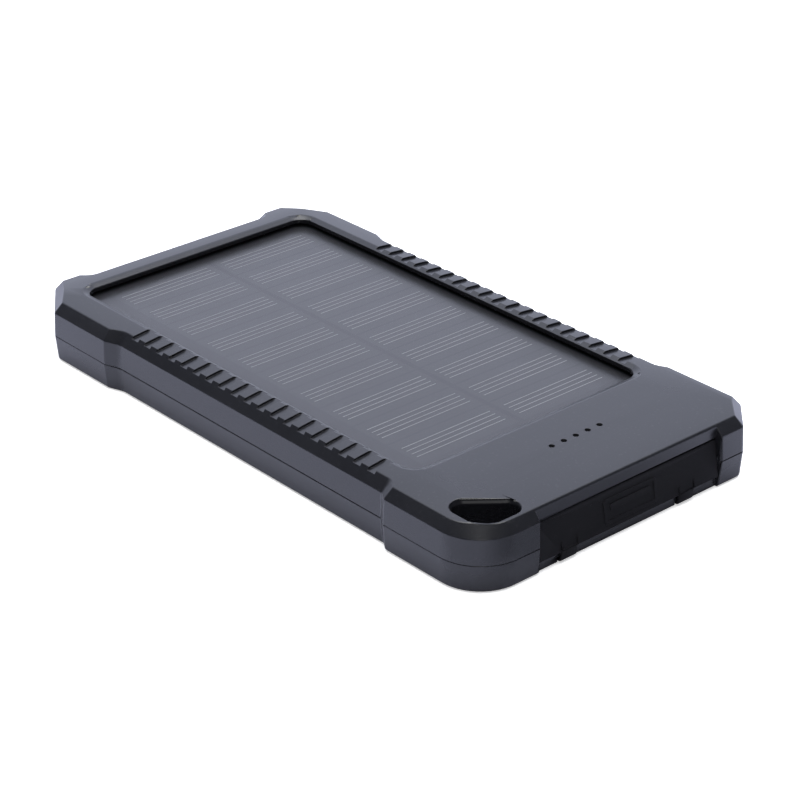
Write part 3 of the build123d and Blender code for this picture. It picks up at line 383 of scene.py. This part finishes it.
def dust_group():
    """Mask of fine dust that settles on faces turned upward."""
    tree, start, end = new_group(
        "settled_dust",
        (("Amount", "NodeSocketFloat", 0.03), ("Speck Size", "NodeSocketFloat", 0.0006)),
        (("Mask", "NodeSocketFloat"),),
    )
    geometry = add(tree, "ShaderNodeNewGeometry")
    facing = add(tree, "ShaderNodeSeparateXYZ", i0=geometry.outputs["Normal"]).outputs["Z"]
    place = add(tree, "ShaderNodeTexCoord").outputs["Object"]
    scale = calc(tree, "DIVIDE", 1.0, start.outputs["Speck Size"])
    specks = add(tree, "ShaderNodeTexNoise", Vector=place, Scale=scale, Detail=1.0)
    sparse = remap(tree, specks.outputs[0], 0.0, 1.0, *SPECK_RANGE)
    upward = calc(tree, "MAXIMUM", facing, 0.0)
    mask = calc(tree, "MULTIPLY", calc(tree, "MULTIPLY", sparse, upward), start.outputs["Amount"])
    tree.links.new(mask, end.inputs["Mask"])
    return tree


def edge_group():
    """Mask of the polished convex edges of a piece."""
    tree, start, end = new_group(
        "edge_polish",
        (("Sharpness", "NodeSocketFloat", 0.52), ("Spread", "NodeSocketFloat", 0.06)),
        (("Mask", "NodeSocketFloat"),),
    )
    point = add(tree, "ShaderNodeNewGeometry").outputs["Pointiness"]
    high = calc(tree, "ADD", start.outputs["Sharpness"], start.outputs["Spread"])
    tree.links.new(remap(tree, point, 0.0, 1.0, start.outputs["Sharpness"], high), end.inputs["Mask"])
    return tree


def lines_group():
    """Height of fine lines drawn out along an axis, as rolling or brushing leaves them."""
    tree, start, end = new_group(
        "drawn_lines",
        (("Stretch", "NodeSocketVector", None), ("Line Size", "NodeSocketFloat", 0.0002)),
        (("Height", "NodeSocketFloat"),),
    )
    spot = add(tree, "ShaderNodeTexCoord").outputs["Object"]
    drawn = add(tree, "ShaderNodeVectorMath", {"operation": "MULTIPLY"}, i0=spot, i1=start.outputs["Stretch"])
    scale = calc(tree, "DIVIDE", 1.0, start.outputs["Line Size"])
    noise = add(tree, "ShaderNodeTexNoise", Vector=drawn.outputs[0], Scale=scale, Detail=2.0)
    tree.links.new(noise.outputs[0], end.inputs["Height"])
    return tree


def tracks_group():
    """Mask of copper tracks that run square to each other under a solder mask."""
    tree, start, end = new_group(
        "copper_tracks", (("Track Size", "NodeSocketFloat", 0.0008),), (("Mask", "NodeSocketFloat"),)
    )
    spot = add(tree, "ShaderNodeTexCoord").outputs["Object"]
    scale = calc(tree, "DIVIDE", TRACK_SCALE, start.outputs["Track Size"])
    cells = add(
        tree,
        "ShaderNodeTexBrick",
        TRACK_LAYOUT,
        Vector=spot,
        Scale=scale,
        Mortar_Size=TRACK_WIDTH,
        Mortar_Smooth=TRACK_BLUR,
    )
    tree.links.new(cells.outputs["Fac"], end.inputs["Mask"])
    return tree


def shared(name):
    """Node group built once and found again by name."""
    makers = {
        "moulded_grain": grain_group,
        "settled_dust": dust_group,
        "edge_polish": edge_group,
        "drawn_lines": lines_group,
        "copper_tracks": tracks_group,
    }
    return bpy.data.node_groups.get(name) or makers[name]()


def use(tree, name, **inputs):
    """Places a shared group in a material."""
    return add(tree, "ShaderNodeGroup", {"node_tree": shared(name)}, **inputs)


def new_material(name):
    """Material with a bare Principled shader; returns the material, its tree and the shader."""
    material = bpy.data.materials.new(name)
    material.use_nodes = True
    tree = material.node_tree
    shader = next(node for node in tree.nodes if node.type == "BSDF_PRINCIPLED")
    return material, tree, shader


def moulded(
    name,
    color,
    roughness,
    grain=0.35 * MM,
    depth=0.004 * MM,
    spread=0.06,
    wear=0.35,
    dust=0.03,
    **shading,
):
    """Moulded plastic or rubber: grain, soft roughness patches, polished edges and a trace of dust."""
    material, tree, shader = new_material(name)
    texture = use(tree, "moulded_grain", Grain_Size=grain, Patch_Size=18 * MM)
    patches = texture.outputs["Patches"]
    base = mixed(tree, patches, tint(color, PATCH_DARK), tint(color, *PATCH_LIGHT))
    edge = use(tree, "edge_polish").outputs["Mask"]
    base = mixed(tree, calc(tree, "MULTIPLY", edge, wear), base, tint(color, *WORN_LIGHT))
    base = mixed(tree, use(tree, "settled_dust", Amount=dust).outputs["Mask"], base, DUST_COLOR)
    tree.links.new(base, shader.inputs["Base Color"])
    swing = remap(tree, patches, roughness - spread / 2, roughness + spread / 2, *PATCH_RANGE)
    rough = calc(tree, "SUBTRACT", swing, calc(tree, "MULTIPLY", edge, WORN_POLISH))
    tree.links.new(rough, shader.inputs["Roughness"])
    raise_bump(tree, shader, texture.outputs["Height"], strength=0.6, distance=depth)
    set_inputs(shader, shading)
    return material


def metal(
    name, color, roughness, grain=0.25 * MM, stretch=(1.0, 1.0, 1.0), depth=0.0015 * MM, wear=0.4
):
    """Rolled or plated metal: drawn-out grain, cloudy roughness and brighter rubbed edges."""
    material, tree, shader = new_material(name)
    texture = use(tree, "moulded_grain", Grain_Size=grain, Patch_Size=6 * MM)
    patches = texture.outputs["Patches"]
    lines = use(tree, "drawn_lines", Stretch=stretch, Line_Size=grain)
    base = mixed(tree, patches, tint(color, METAL_DARK), (*color, 1))
    edge = use(tree, "edge_polish").outputs["Mask"]
    base = mixed(tree, calc(tree, "MULTIPLY", edge, wear), base, tint(color, *METAL_WORN))
    tree.links.new(base, shader.inputs["Base Color"])
    shader.inputs["Metallic"].default_value = 1.0
    cloud = calc(tree, "MULTIPLY", patches, METAL_CLOUD)
    tree.links.new(calc(tree, "ADD", cloud, roughness - METAL_CLOUD / 2), shader.inputs["Roughness"])
    raise_bump(tree, shader, lines.outputs["Height"], strength=0.5, distance=depth)
    return material


def circuit(name, color, track_size):
    """Circuit board: solder mask over copper tracks, with a slightly glossy coat."""
    material, tree, shader = new_material(name)
    tracks = use(tree, "copper_tracks", Track_Size=track_size).outputs["Mask"]
    texture = use(tree, "moulded_grain", Grain_Size=0.2 * MM, Patch_Size=9 * MM)
    patches = texture.outputs["Patches"]
    base = mixed(tree, patches, tint(color, MASK_DARK), (*color, 1))
    base = mixed(tree, tracks, base, tint(color, *COPPER_LIGHT))
    tree.links.new(base, shader.inputs["Base Color"])
    tree.links.new(remap(tree, patches, low=0.28, high=0.42), shader.inputs["Roughness"])
    height = calc(tree, "ADD", tracks, calc(tree, "MULTIPLY", texture.outputs["Height"], TRACK_GRAIN))
    raise_bump(tree, shader, height, strength=0.7, distance=0.03 * MM)
    shader.inputs["Coat Weight"].default_value = 0.2
    return material


def foamed(name, color, pore_size):
    """Open-cell foam or tape: pores with painted shade in their centres, and a dry surface."""
    material, tree, shader = new_material(name)
    texture = use(tree, "moulded_grain", Grain_Size=pore_size * PORE_GRAIN, Patch_Size=12 * MM)
    pores = texture.outputs["Speckle"]
    # Painted shade: the colour darkens towards each pore's centre, where the bump sinks
    tree.links.new(mixed(tree, pores, tint(color, PORE_SHADE), (*color, 1)), shader.inputs["Base Color"])
    tree.links.new(remap(tree, texture.outputs["Patches"], low=0.85, high=0.97), shader.inputs["Roughness"])
    raise_bump(tree, shader, pores, strength=0.8, distance=0.06 * MM)
    shader.inputs["Specular IOR Level"].default_value = 0.15
    return material


def split_by_x(name, line, low_color, high_color):
    """Two cable colours, one each side of a line in X, with a soft extruded sheen."""
    material, tree, shader = new_material(name)
    spot = add(tree, "ShaderNodeTexCoord").outputs["Object"]
    side = add(tree, "ShaderNodeSeparateXYZ", i0=spot).outputs["X"]
    beyond = calc(tree, "GREATER_THAN", side, line)
    texture = use(tree, "moulded_grain", Grain_Size=0.3 * MM, Patch_Size=3 * MM)
    patches = texture.outputs["Patches"]
    base = mixed(tree, beyond, (*low_color, 1), (*high_color, 1))
    shade = remap(tree, patches, low=0.8, high=1.1)
    base = add(tree, "ShaderNodeVectorMath", {"operation": "SCALE"}, i0=base, Scale=shade).outputs[0]
    tree.links.new(base, shader.inputs["Base Color"])
    tree.links.new(remap(tree, patches, low=0.32, high=0.5), shader.inputs["Roughness"])
    raise_bump(tree, shader, texture.outputs["Height"], strength=0.4, distance=0.01 * MM)
    return material


def paint(node, material):
    """Gives a carried-over node its finish."""
    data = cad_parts[node].data
    data.materials.clear()
    data.materials.append(material)


# ---------------------------------------------------------------- mesh helpers


def place(name, mesh, material, body, slot, *replaced):
    """Links a new piece in its finish for the nodes it replaces; it rides on a body when one is given."""
    mesh.materials.clear()
    mesh.materials.append(material)
    piece = bpy.data.objects.new(name, mesh)
    bpy.context.scene.collection.objects.link(piece)
    if body:
        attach(piece, body)
    if replaced:
        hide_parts(*replaced)
    return piece


def clean_copy(node):
    """Copy of a node's mesh with welded corners and flat faces merged into a few convex ones."""
    work = bmesh.new()
    work.from_mesh(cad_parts[node].data)
    bmesh.ops.remove_doubles(work, verts=work.verts, dist=WELD_DISTANCE)
    bmesh.ops.dissolve_limit(
        work, angle_limit=FLAT_ANGLE, verts=work.verts, edges=work.edges, delimit={"NORMAL"}
    )
    bmesh.ops.connect_verts_concave(work, faces=[face for face in work.faces if len(face.verts) > 4])
    return work


def assembly_tree():
    """Ray-casting tree of every node at rest."""
    work = bmesh.new()
    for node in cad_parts.values():
        work.from_mesh(node.data)
    tree = BVHTree.FromBMesh(work)
    work.free()
    return tree


def open_to_outside(edge, tree):
    """True for an edge that can be seen from straight in front of it."""
    outward = sum((face.normal for face in edge.link_faces), Vector()).normalized()
    start = (edge.verts[0].co + edge.verts[1].co) / 2 + outward * PROBE_LIFT
    return tree.ray_cast(start, outward)[0] is None


def rounded_mesh(name, work, width, steps, tree, share_of=lambda edge: 1.0):
    """Mesh of a prepared copy with its outer sharp edges rounded, each by its own share of the width."""
    weight = work.edges.layers.float.new("bevel_weight_edge")
    for edge in work.edges:
        if edge.calc_face_angle(0) > CORNER_ANGLE and open_to_outside(edge, tree):
            edge[weight] = share_of(edge)
    for face in work.faces:
        face.smooth = True
    mesh = bpy.data.meshes.new(name)
    work.to_mesh(mesh)
    work.free()
    mesh.set_sharp_from_angle(angle=CREASE_ANGLE)
    holder = bpy.data.objects.new(name + "_work", mesh)
    bpy.context.scene.collection.objects.link(holder)
    bevel = holder.modifiers.new("rounding", "BEVEL")
    bevel.limit_method = "WEIGHT"
    bevel.width = width
    bevel.segments = steps
    bevel.use_clamp_overlap = False
    bevel.harden_normals = True
    bevel.loop_slide = False
    normals = holder.modifiers.new("normals", "WEIGHTED_NORMAL")
    normals.keep_sharp = True
    graph = bpy.context.evaluated_depsgraph_get()
    result = bpy.data.meshes.new_from_object(holder.evaluated_get(graph))
    result.name = name
    bpy.data.objects.remove(holder)
    bpy.data.meshes.remove(mesh)
    return result


# ---------------------------------------------------------------- operators


class POWERBANK_OT_case(Operator):
    """Finishes the two case shells."""

    bl_idname = "powerbank.case"
    bl_label = "Case Shells"

    def execute(self, context):
        settings = context.scene.powerbank_case
        material = moulded(
            "case_plastic", settings.color, settings.roughness, grain=settings.grain, depth=0.0025 * MM
        )
        tree = assembly_tree()
        rounding = self.share_by_place()
        for node, name in (("upper_case", "upper_shell"), ("lower_case", "lower_shell")):
            work = clean_copy(node)
            mesh = rounded_mesh(name, work, settings.rim_width, settings.edge_steps, tree, rounding)
            place(name, mesh, material, "housing", "case_plastic", node)
        return {"FINISHED"}

    @staticmethod
    def share_by_place():
        """Share of the full rounding an edge gets: most at the window rim, next to none in the grooves."""
        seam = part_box("lower_case")[1].z
        low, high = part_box("panel_laminate")
        guide = sum(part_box("indicator_leds"), Vector()) / 2

        def share(edge):
            """Share for one edge, by where its middle lies."""
            middle = (edge.verts[0].co + edge.verts[1].co) / 2
            if all(abs(corner.co.z - seam) < SEAM_BAND for corner in edge.verts):
                return 0.0
            if middle.z < high.z:
                return EDGE_SHARE
            beside_x = abs(middle.x) - high.x
            beside_y = max(middle.y - high.y, low.y - middle.y)
            if 0 < beside_y < RIM_BAND and beside_x < 0:
                return RIM_SHARE if beside_x < -CORNER_BAND else CORNER_SHARE
            if GROOVE_NEAR_Y < middle.y < GROOVE_FAR_Y and -GROOVE_BAND < beside_x < GROOVE_BAND:
                return GROOVE_SHARE
            by_indicators = abs(middle.y - guide.y) < INDICATOR_BAND and abs(middle.x) < high.x / 2
            return GROOVE_SHARE if by_indicators else EDGE_SHARE

        return share


class POWERBANK_OT_cover(Operator):
    """Finishes the rubber port cover and makes its two living hinges."""

    bl_idname = "powerbank.cover"
    bl_label = "Port Cover"

    def execute(self, context):
        settings = context.scene.powerbank_rubber
        rubber = moulded(
            "cover_rubber",
            settings.color,
            settings.roughness,
            grain=0.25 * MM,
            depth=0.006 * MM,
            Specular_IOR_Level=0.08,
        )
        flap = clean_copy("port_cover")
        whole = flap.verts[:] + flap.edges[:] + flap.faces[:]
        base = (0, 0, COVER_BASE_Z)
        down = (0, 0, -1)
        cut = bmesh.ops.bisect_plane(flap, geom=whole, plane_co=base, plane_no=down, clear_outer=True)
        rim = [item for item in cut["geom_cut"] if isinstance(item, bmesh.types.BMEdge)]
        bmesh.ops.holes_fill(flap, edges=[edge for edge in rim if edge.is_boundary])
        radius, steps = settings.edge_radius, settings.edge_steps
        mesh = rounded_mesh("cover_flap", flap, radius, steps, assembly_tree(), self.rounding)
        place("cover_flap", mesh, rubber, "cover", "black_rubber", "port_cover")
        straps = self.straps(settings)
        hinges = place("cover_hinges", straps, rubber, None, "black_rubber", "cover_straps")
        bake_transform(hinges)
        return {"FINISHED"}

    @staticmethod
    def rounding(edge):
        """Full width on the plate, less on the raised mark."""
        on_mark = all(MARK_LOW_Z < corner.co.z < MARK_HIGH_Z for corner in edge.verts)
        return MARK_SHARE if on_mark else 1.0

    @staticmethod
    def strap_run(turn):
        """Side view of a strap as points with half a thickness: under the lip, round, and up the flap."""
        mid = STRAP_THICK / 2
        thin = STRAP_FLAT / 2
        flat_z = STRAP_BASE_Z + thin
        run = [(STRAP_END_Y, flat_z, thin), (STRAP_END_Y - STRAP_ANCHOR, flat_z, thin)]
        for step in range(HINGE_STEPS + 1):
            angle = radians(90) * step / HINGE_STEPS
            y = HINGE_Y + turn - turn * sin(angle)
            z = flat_z + turn - turn * cos(angle)
            run.append((y, z, thin + (mid - thin) * step / HINGE_STEPS))
        rise = COVER_BASE_Z + TAB_LAP - flat_z - turn
        for step in range(1, RISE_STEPS + 1):
            run.append((HINGE_Y, flat_z + turn + rise * step / RISE_STEPS, mid))
        return run

    def straps(self, settings):
        """Both living hinges, each its section carried along the run."""
        work = bmesh.new()
        run = self.strap_run(settings.hinge_radius)
        count = len(STRAP_SECTION)
        for centre in STRAP_X:
            rings = []
            for index, (y, z, half) in enumerate(run):
                before = run[max(index - 1, 0)]
                after = run[min(index + 1, len(run) - 1)]
                along = Vector((0, after[0] - before[0], after[1] - before[1])).normalized()
                across = Vector((1, 0, 0)).cross(along)
                ring = []
                for side_x, side_n in STRAP_SECTION:
                    spot = Vector((centre + side_x * STRAP_WIDTH / 2, y, z)) + across * side_n * half
                    ring.append(work.verts.new(spot))
                rings.append(ring)
            for first, second in zip(rings, rings[1:]):
                for index in range(count):
                    nearby = (index + 1) % count
                    work.faces.new((first[index], first[nearby], second[nearby], second[index]))
            work.faces.new(rings[0][::-1])
            work.faces.new(rings[-1])
        bmesh.ops.recalc_face_normals(work, faces=work.faces)
        for face in work.faces:
            face.smooth = len(face.verts) == 4
        mesh = bpy.data.meshes.new("cover_hinges")
        work.to_mesh(mesh)
        work.free()
        return mesh


class POWERBANK_OT_panel(Operator):
    """Finishes the solar panel: laminate, cells, printed fingers, backing and tape."""

    bl_idname = "powerbank.panel"
    bl_label = "Solar Panel"

    def execute(self, context):
        settings = context.scene.powerbank_panel
        bonded = {
            "grain": 2 * MM,
            "depth": 0.001 * MM,
            "dust": 0.0,
            "Specular_IOR_Level": 0.1,
            "Coat_Weight": 1.0,
            "Coat_Roughness": settings.laminate_roughness,
        }
        printed = {**bonded, "grain": 0.4 * MM, "depth": 0.002 * MM}
        paint("solar_cells", moulded("silicon", settings.cell_color, 0.4, **bonded))
        paint("panel_board", moulded("panel_backing", settings.backing_color, 0.5, **bonded))
        paint("cell_fingers", moulded("silver_print", settings.print_color, 0.45, **printed))
        paint("panel_tape", moulded("tape_black", (0.01, 0.01, 0.01), 0.7))
        paint("panel_laminate", self.laminate(settings))
        return {"FINISHED"}

    @staticmethod
    def laminate(settings):
        """Clear film with a faint sheen that grows towards grazing angles."""
        material, tree, shader = new_material("panel_laminate")
        texture = use(tree, "moulded_grain", Grain_Size=0.7 * MM, Patch_Size=25 * MM)
        shader.inputs["Base Color"].default_value = (1, 1, 1, 1)
        shader.inputs["Metallic"].default_value = 1.0
        middle = settings.laminate_roughness
        rough = remap(tree, texture.outputs["Patches"], middle - FILM_SPREAD, middle + FILM_SPREAD)
        tree.links.new(rough, shader.inputs["Roughness"])
        raise_bump(tree, shader, texture.outputs["Height"], strength=0.15, distance=0.0006 * MM)
        clear = add(tree, "ShaderNodeBsdfTransparent", Color=FILM_TINT)
        inside = add(tree, "ShaderNodeNewGeometry").outputs["Backfacing"]
        mirror = add(tree, "ShaderNodeFresnel", IOR=FILM_IOR).outputs[0]
        share = calc(tree, "MULTIPLY", mirror, calc(tree, "SUBTRACT", 1.0, inside))
        share = calc(tree, "MULTIPLY", share, settings.film_gloss)
        mix = add(tree, "ShaderNodeMixShader", i0=share, i1=clear.outputs[0], i2=shader.outputs[0])
        output = next(node for node in tree.nodes if node.type == "OUTPUT_MATERIAL")
        tree.links.new(mix.outputs[0], output.inputs["Surface"])
        return material


class POWERBANK_OT_button(Operator):
    """Makes the rounded power button cap and finishes the switch behind it."""

    bl_idname = "powerbank.button"
    bl_label = "Power Button"

    def execute(self, context):
        settings = context.scene.powerbank_button
        plastic = moulded("button_plastic", settings.color, settings.roughness, grain=0.3 * MM)
        work = clean_copy("power_button")
        mesh = rounded_mesh("button_cap", work, settings.edge_radius, settings.edge_steps, assembly_tree())
        place("button_cap", mesh, plastic, "button", "button_plastic", "power_button")
        paint("switch_plunger", moulded("switch_plunger", (0.62, 0.58, 0.50), 0.45, grain=0.2 * MM))
        paint("tact_switch", metal("switch_can", (0.62, 0.62, 0.60), 0.38, stretch=(1, 0.1, 1)))
        return {"FINISHED"}


class POWERBANK_OT_indicators(Operator):
    """Finishes the light guide behind the five holes and the LEDs under it."""

    bl_idname = "powerbank.indicators"
    bl_label = "Indicators"

    def execute(self, context):
        settings = context.scene.powerbank_indicators
        guide = moulded(
            "light_guide",
            settings.guide_color,
            settings.guide_roughness,
            grain=0.4 * MM,
            dust=0.0,
            Transmission_Weight=settings.clearness,
            IOR=1.58,
        )
        paint("light_guide", guide)
        paint("indicator_leds", moulded("led_resin", settings.led_color, 0.3, grain=0.2 * MM, dust=0.0))
        return {"FINISHED"}


class POWERBANK_OT_sockets(Operator):
    """Finishes the two USB sockets and the small charging socket behind the cover."""

    bl_idname = "powerbank.sockets"
    bl_label = "Sockets"

    def execute(self, context):
        settings = context.scene.powerbank_sockets
        steel = metal("socket_steel", settings.steel_color, settings.steel_roughness, stretch=(1, 0.06, 1))
        tree = assembly_tree()
        for node in ("usb_a_shells", "micro_usb_shell"):
            name = node + "_formed"
            mesh = rounded_mesh(name, clean_copy(node), settings.edge_radius, settings.edge_steps, tree)
            place(name, mesh, steel, "housing", "socket_steel", node)
        tongue = moulded("socket_tongue", settings.tongue_color, 0.42, grain=0.2 * MM, depth=0.003 * MM)
        paint("usb_a_insulators", tongue)
        paint("micro_usb_tongue", tongue)
        gold = metal("contact_gold", (0.86, 0.62, 0.26), 0.26, grain=0.12 * MM, stretch=(1, 0.1, 1))
        paint("usb_a_contacts", gold)
        return {"FINISHED"}


class POWERBANK_OT_electronics(Operator):
    """Finishes the circuit boards and every component on the main board."""

    bl_idname = "powerbank.electronics"
    bl_label = "Electronics"

    def execute(self, context):
        settings = context.scene.powerbank_electronics
        mask = circuit("solder_mask", settings.mask_color, settings.track_size)
        paint("main_board", mask)
        paint("battery_pcm", mask)
        resin = moulded("chip_resin", (0.012, 0.012, 0.013), 0.55, grain=0.12 * MM, depth=0.006 * MM)
        paint("controller_chips", resin)
        ferrite = moulded("ferrite", (0.032, 0.031, 0.031), 0.6, grain=0.3 * MM, depth=0.02 * MM, dust=0.1)
        paint("power_inductor", ferrite)
        paint("chip_capacitors", moulded("ceramic", (0.30, 0.20, 0.11), 0.4, grain=0.25 * MM))
        paint("board_screws", metal("zinc_plating", (0.60, 0.61, 0.62), 0.36, grain=0.15 * MM))
        return {"FINISHED"}


class POWERBANK_OT_battery(Operator):
    """Finishes the pouch cell, its foam and tape, and the leads."""

    bl_idname = "powerbank.battery"
    bl_label = "Battery"

    def execute(self, context):
        settings = context.scene.powerbank_battery
        foil = metal(
            "pouch_foil",
            settings.foil_color,
            settings.foil_roughness,
            grain=settings.wrinkle_size,
            stretch=(1, 0.35, 1),
            depth=0.05 * MM,
        )
        work = clean_copy("battery_cell")
        mesh = rounded_mesh("pouch_cell", work, settings.edge_radius, settings.edge_steps, assembly_tree())
        place("pouch_cell", mesh, foil, "housing", "pouch_foil", "battery_cell")
        paint("battery_pads", foamed("pad_tape", (0.62, 0.62, 0.60), 0.5 * MM))
        paint("battery_foam", foamed("black_foam", (0.035, 0.035, 0.038), 0.8 * MM))
        for node in ("battery_leads", "solar_leads"):
            low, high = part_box(node)
            between = (low.x + high.x) / 2
            paint(node, split_by_x(node + "_sleeve", between, settings.minus_color, settings.plus_color))
        return {"FINISHED"}


class POWERBANK_OT_fasteners(Operator):
    """Makes the six case screws with softly broken heads."""

    bl_idname = "powerbank.fasteners"
    bl_label = "Case Screws"

    def execute(self, context):
        settings = context.scene.powerbank_fasteners
        steel = metal("black_oxide", settings.color, settings.roughness, grain=0.15 * MM, wear=0.8)
        name, work = "case_screws_turned", clean_copy("case_screws")
        mesh = rounded_mesh(name, work, settings.edge_radius, settings.edge_steps, assembly_tree())
        place(name, mesh, steel, "housing", "black_steel", "case_screws")
        return {"FINISHED"}


class POWERBANK_OT_stage(Operator):
    """Floor, lights, surroundings and camera."""

    bl_idname = "powerbank.stage"
    bl_label = "Studio Stage"

    def execute(self, context):
        settings = context.scene.powerbank_stage
        self.floor(settings)
        self.surroundings(context)
        self.lights()
        self.camera(context, settings)
        return {"FINISHED"}

    def floor(self, settings):
        """White floor. In reflections it shows a painted reflection tint, with painted shade in a patch ahead
        of the ports that darkens the port end.
        """
        half = settings.floor_size / 2
        mesh = bpy.data.meshes.new("floor")
        corners = [(-half, -half, 0), (half, -half, 0), (half, half, 0), (-half, half, 0)]
        mesh.from_pydata(corners, [], [(0, 1, 2, 3)])
        floor = bpy.data.objects.new("floor", mesh)
        bpy.context.scene.collection.objects.link(floor)
        floor.location.z = -FLOOR_DROP
        material, tree, shader = new_material("floor_white")
        spot = add(tree, "ShaderNodeTexCoord").outputs["Object"]
        shade_spot = (*settings.painted_shade_spot, 0)
        away = add(tree, "ShaderNodeVectorMath", {"operation": "DISTANCE"}, i0=spot, i1=shade_spot)
        shade_spot_share = remap(tree, away.outputs["Value"], 1.0, 0.0, *SHADE_SPOT_FADE)
        rays = add(tree, "ShaderNodeLightPath").outputs
        # Painted reflection and painted shade, seen only by glossy rays; the camera sees plain white
        painted_reflection = mixed(tree, shade_spot_share, FLOOR_PAINTED_REFLECTION, FLOOR_PAINTED_SHADE)
        color = mixed(tree, rays["Is Glossy Ray"], FLOOR_WHITE, painted_reflection)
        tree.links.new(color, shader.inputs["Base Color"])
        glow = calc(tree, "MULTIPLY", rays["Is Camera Ray"], FLOOR_GLOW)
        tree.links.new(glow, shader.inputs["Emission Strength"])
        set_inputs(shader, {"Emission Color": (1, 1, 1, 1), "Roughness": 0.8, "Specular IOR Level": 0.1})
        mesh.materials.append(material)

    def surroundings(self, context):
        """Dim room with one broad bright side, high beyond the far right corner."""
        world = bpy.data.worlds.new("studio")
        context.scene.world = world
        world.use_nodes = True
        tree = world.node_tree
        background = next(node for node in tree.nodes if node.type == "BACKGROUND")
        direction = add(tree, "ShaderNodeTexCoord").outputs["Generated"]
        centre = Vector(ROOM_CENTRE).normalized()
        along = add(tree, "ShaderNodeVectorMath", {"operation": "DOT_PRODUCT"}, i0=direction, i1=centre)
        soft = {"interpolation_type": "SMOOTHSTEP"}
        facing = along.outputs["Value"]
        low, high = ROOM_FADE
        lobe = add(tree, "ShaderNodeMapRange", soft, Value=facing, From_Min=low, From_Max=high)
        color = mixed(tree, lobe.outputs[0], ROOM_DARK, ROOM_BRIGHT)
        tree.links.new(color, background.inputs["Color"])

    def lights(self):
        """Round softboxes that face the middle of the floor."""
        for name, spot, size, power in SOFTBOXES:
            data = bpy.data.lights.new(name, "AREA")
            data.shape = "DISK"
            data.size = size
            data.energy = power
            light = bpy.data.objects.new(name, data)
            bpy.context.scene.collection.objects.link(light)
            light.location = spot
            light.rotation_euler = Vector(spot).to_track_quat("Z", "Y").to_euler()

    def camera(self, context, settings):
        """Camera that looks at the target from its distance."""
        azimuth, elevation = settings.azimuth, settings.elevation
        level = Vector((sin(azimuth), -cos(azimuth), 0)) * cos(elevation)
        back = level + Vector((0, 0, sin(elevation)))
        right = Vector((0, 0, 1)).cross(back).normalized()
        up = back.cross(right)
        turned_right = right * cos(settings.roll) + up * sin(settings.roll)
        turned_up = up * cos(settings.roll) - right * sin(settings.roll)
        data = bpy.data.cameras.new("camera")
        data.lens = settings.lens
        data.clip_start = CLIP_NEAR
        data.clip_end = CLIP_FAR
        camera = bpy.data.objects.new("camera", data)
        context.scene.collection.objects.link(camera)
        spot = Vector(settings.target) + back * settings.distance
        turn = Matrix((turned_right, turned_up, back)).transposed().to_4x4()
        camera.matrix_world = Matrix.Translation(spot) @ turn
        context.scene.camera = camera
        context.scene.view_settings.view_transform = "Standard"


class POWERBANK_PT_sidebar(Panel):
    """Buttons that build the power bank's pieces."""

    bl_idname = "POWERBANK_PT_sidebar"
    bl_label = "Solar Power Bank"
    bl_space_type = "VIEW_3D"
    bl_region_type = "UI"
    bl_category = "Power Bank"

    def draw(self, context):
        for operator in OPERATORS:
            self.layout.operator(operator.bl_idname)


SETTINGS = {
    "powerbank_case": CaseSettings,
    "powerbank_rubber": RubberSettings,
    "powerbank_panel": PanelSettings,
    "powerbank_button": ButtonSettings,
    "powerbank_indicators": IndicatorSettings,
    "powerbank_sockets": SocketSettings,
    "powerbank_electronics": ElectronicsSettings,
    "powerbank_battery": BatterySettings,
    "powerbank_fasteners": FastenerSettings,
    "powerbank_stage": StageSettings,
}
OPERATORS = (
    POWERBANK_OT_case,
    POWERBANK_OT_cover,
    POWERBANK_OT_panel,
    POWERBANK_OT_button,
    POWERBANK_OT_indicators,
    POWERBANK_OT_sockets,
    POWERBANK_OT_electronics,
    POWERBANK_OT_battery,
    POWERBANK_OT_fasteners,
    POWERBANK_OT_stage,
)


def register():
    """Adds the settings, the operators and the panel."""
    for name, group in SETTINGS.items():
        bpy.utils.register_class(group)
        setattr(bpy.types.Scene, name, PointerProperty(type=group))
    for operator in OPERATORS:
        bpy.utils.register_class(operator)
    bpy.utils.register_class(POWERBANK_PT_sidebar)


def unregister():
    """Takes them away again."""
    bpy.utils.unregister_class(POWERBANK_PT_sidebar)
    for operator in reversed(OPERATORS):
        bpy.utils.unregister_class(operator)
    for name, group in SETTINGS.items():
        delattr(bpy.types.Scene, name)
        bpy.utils.unregister_class(group)


def main():
    """Builds every piece and the stage."""
    register()
    for operator in OPERATORS:
        group, name = operator.bl_idname.split(".")
        getattr(getattr(bpy.ops, group), name)()


if __name__ == "__main__":
    main()
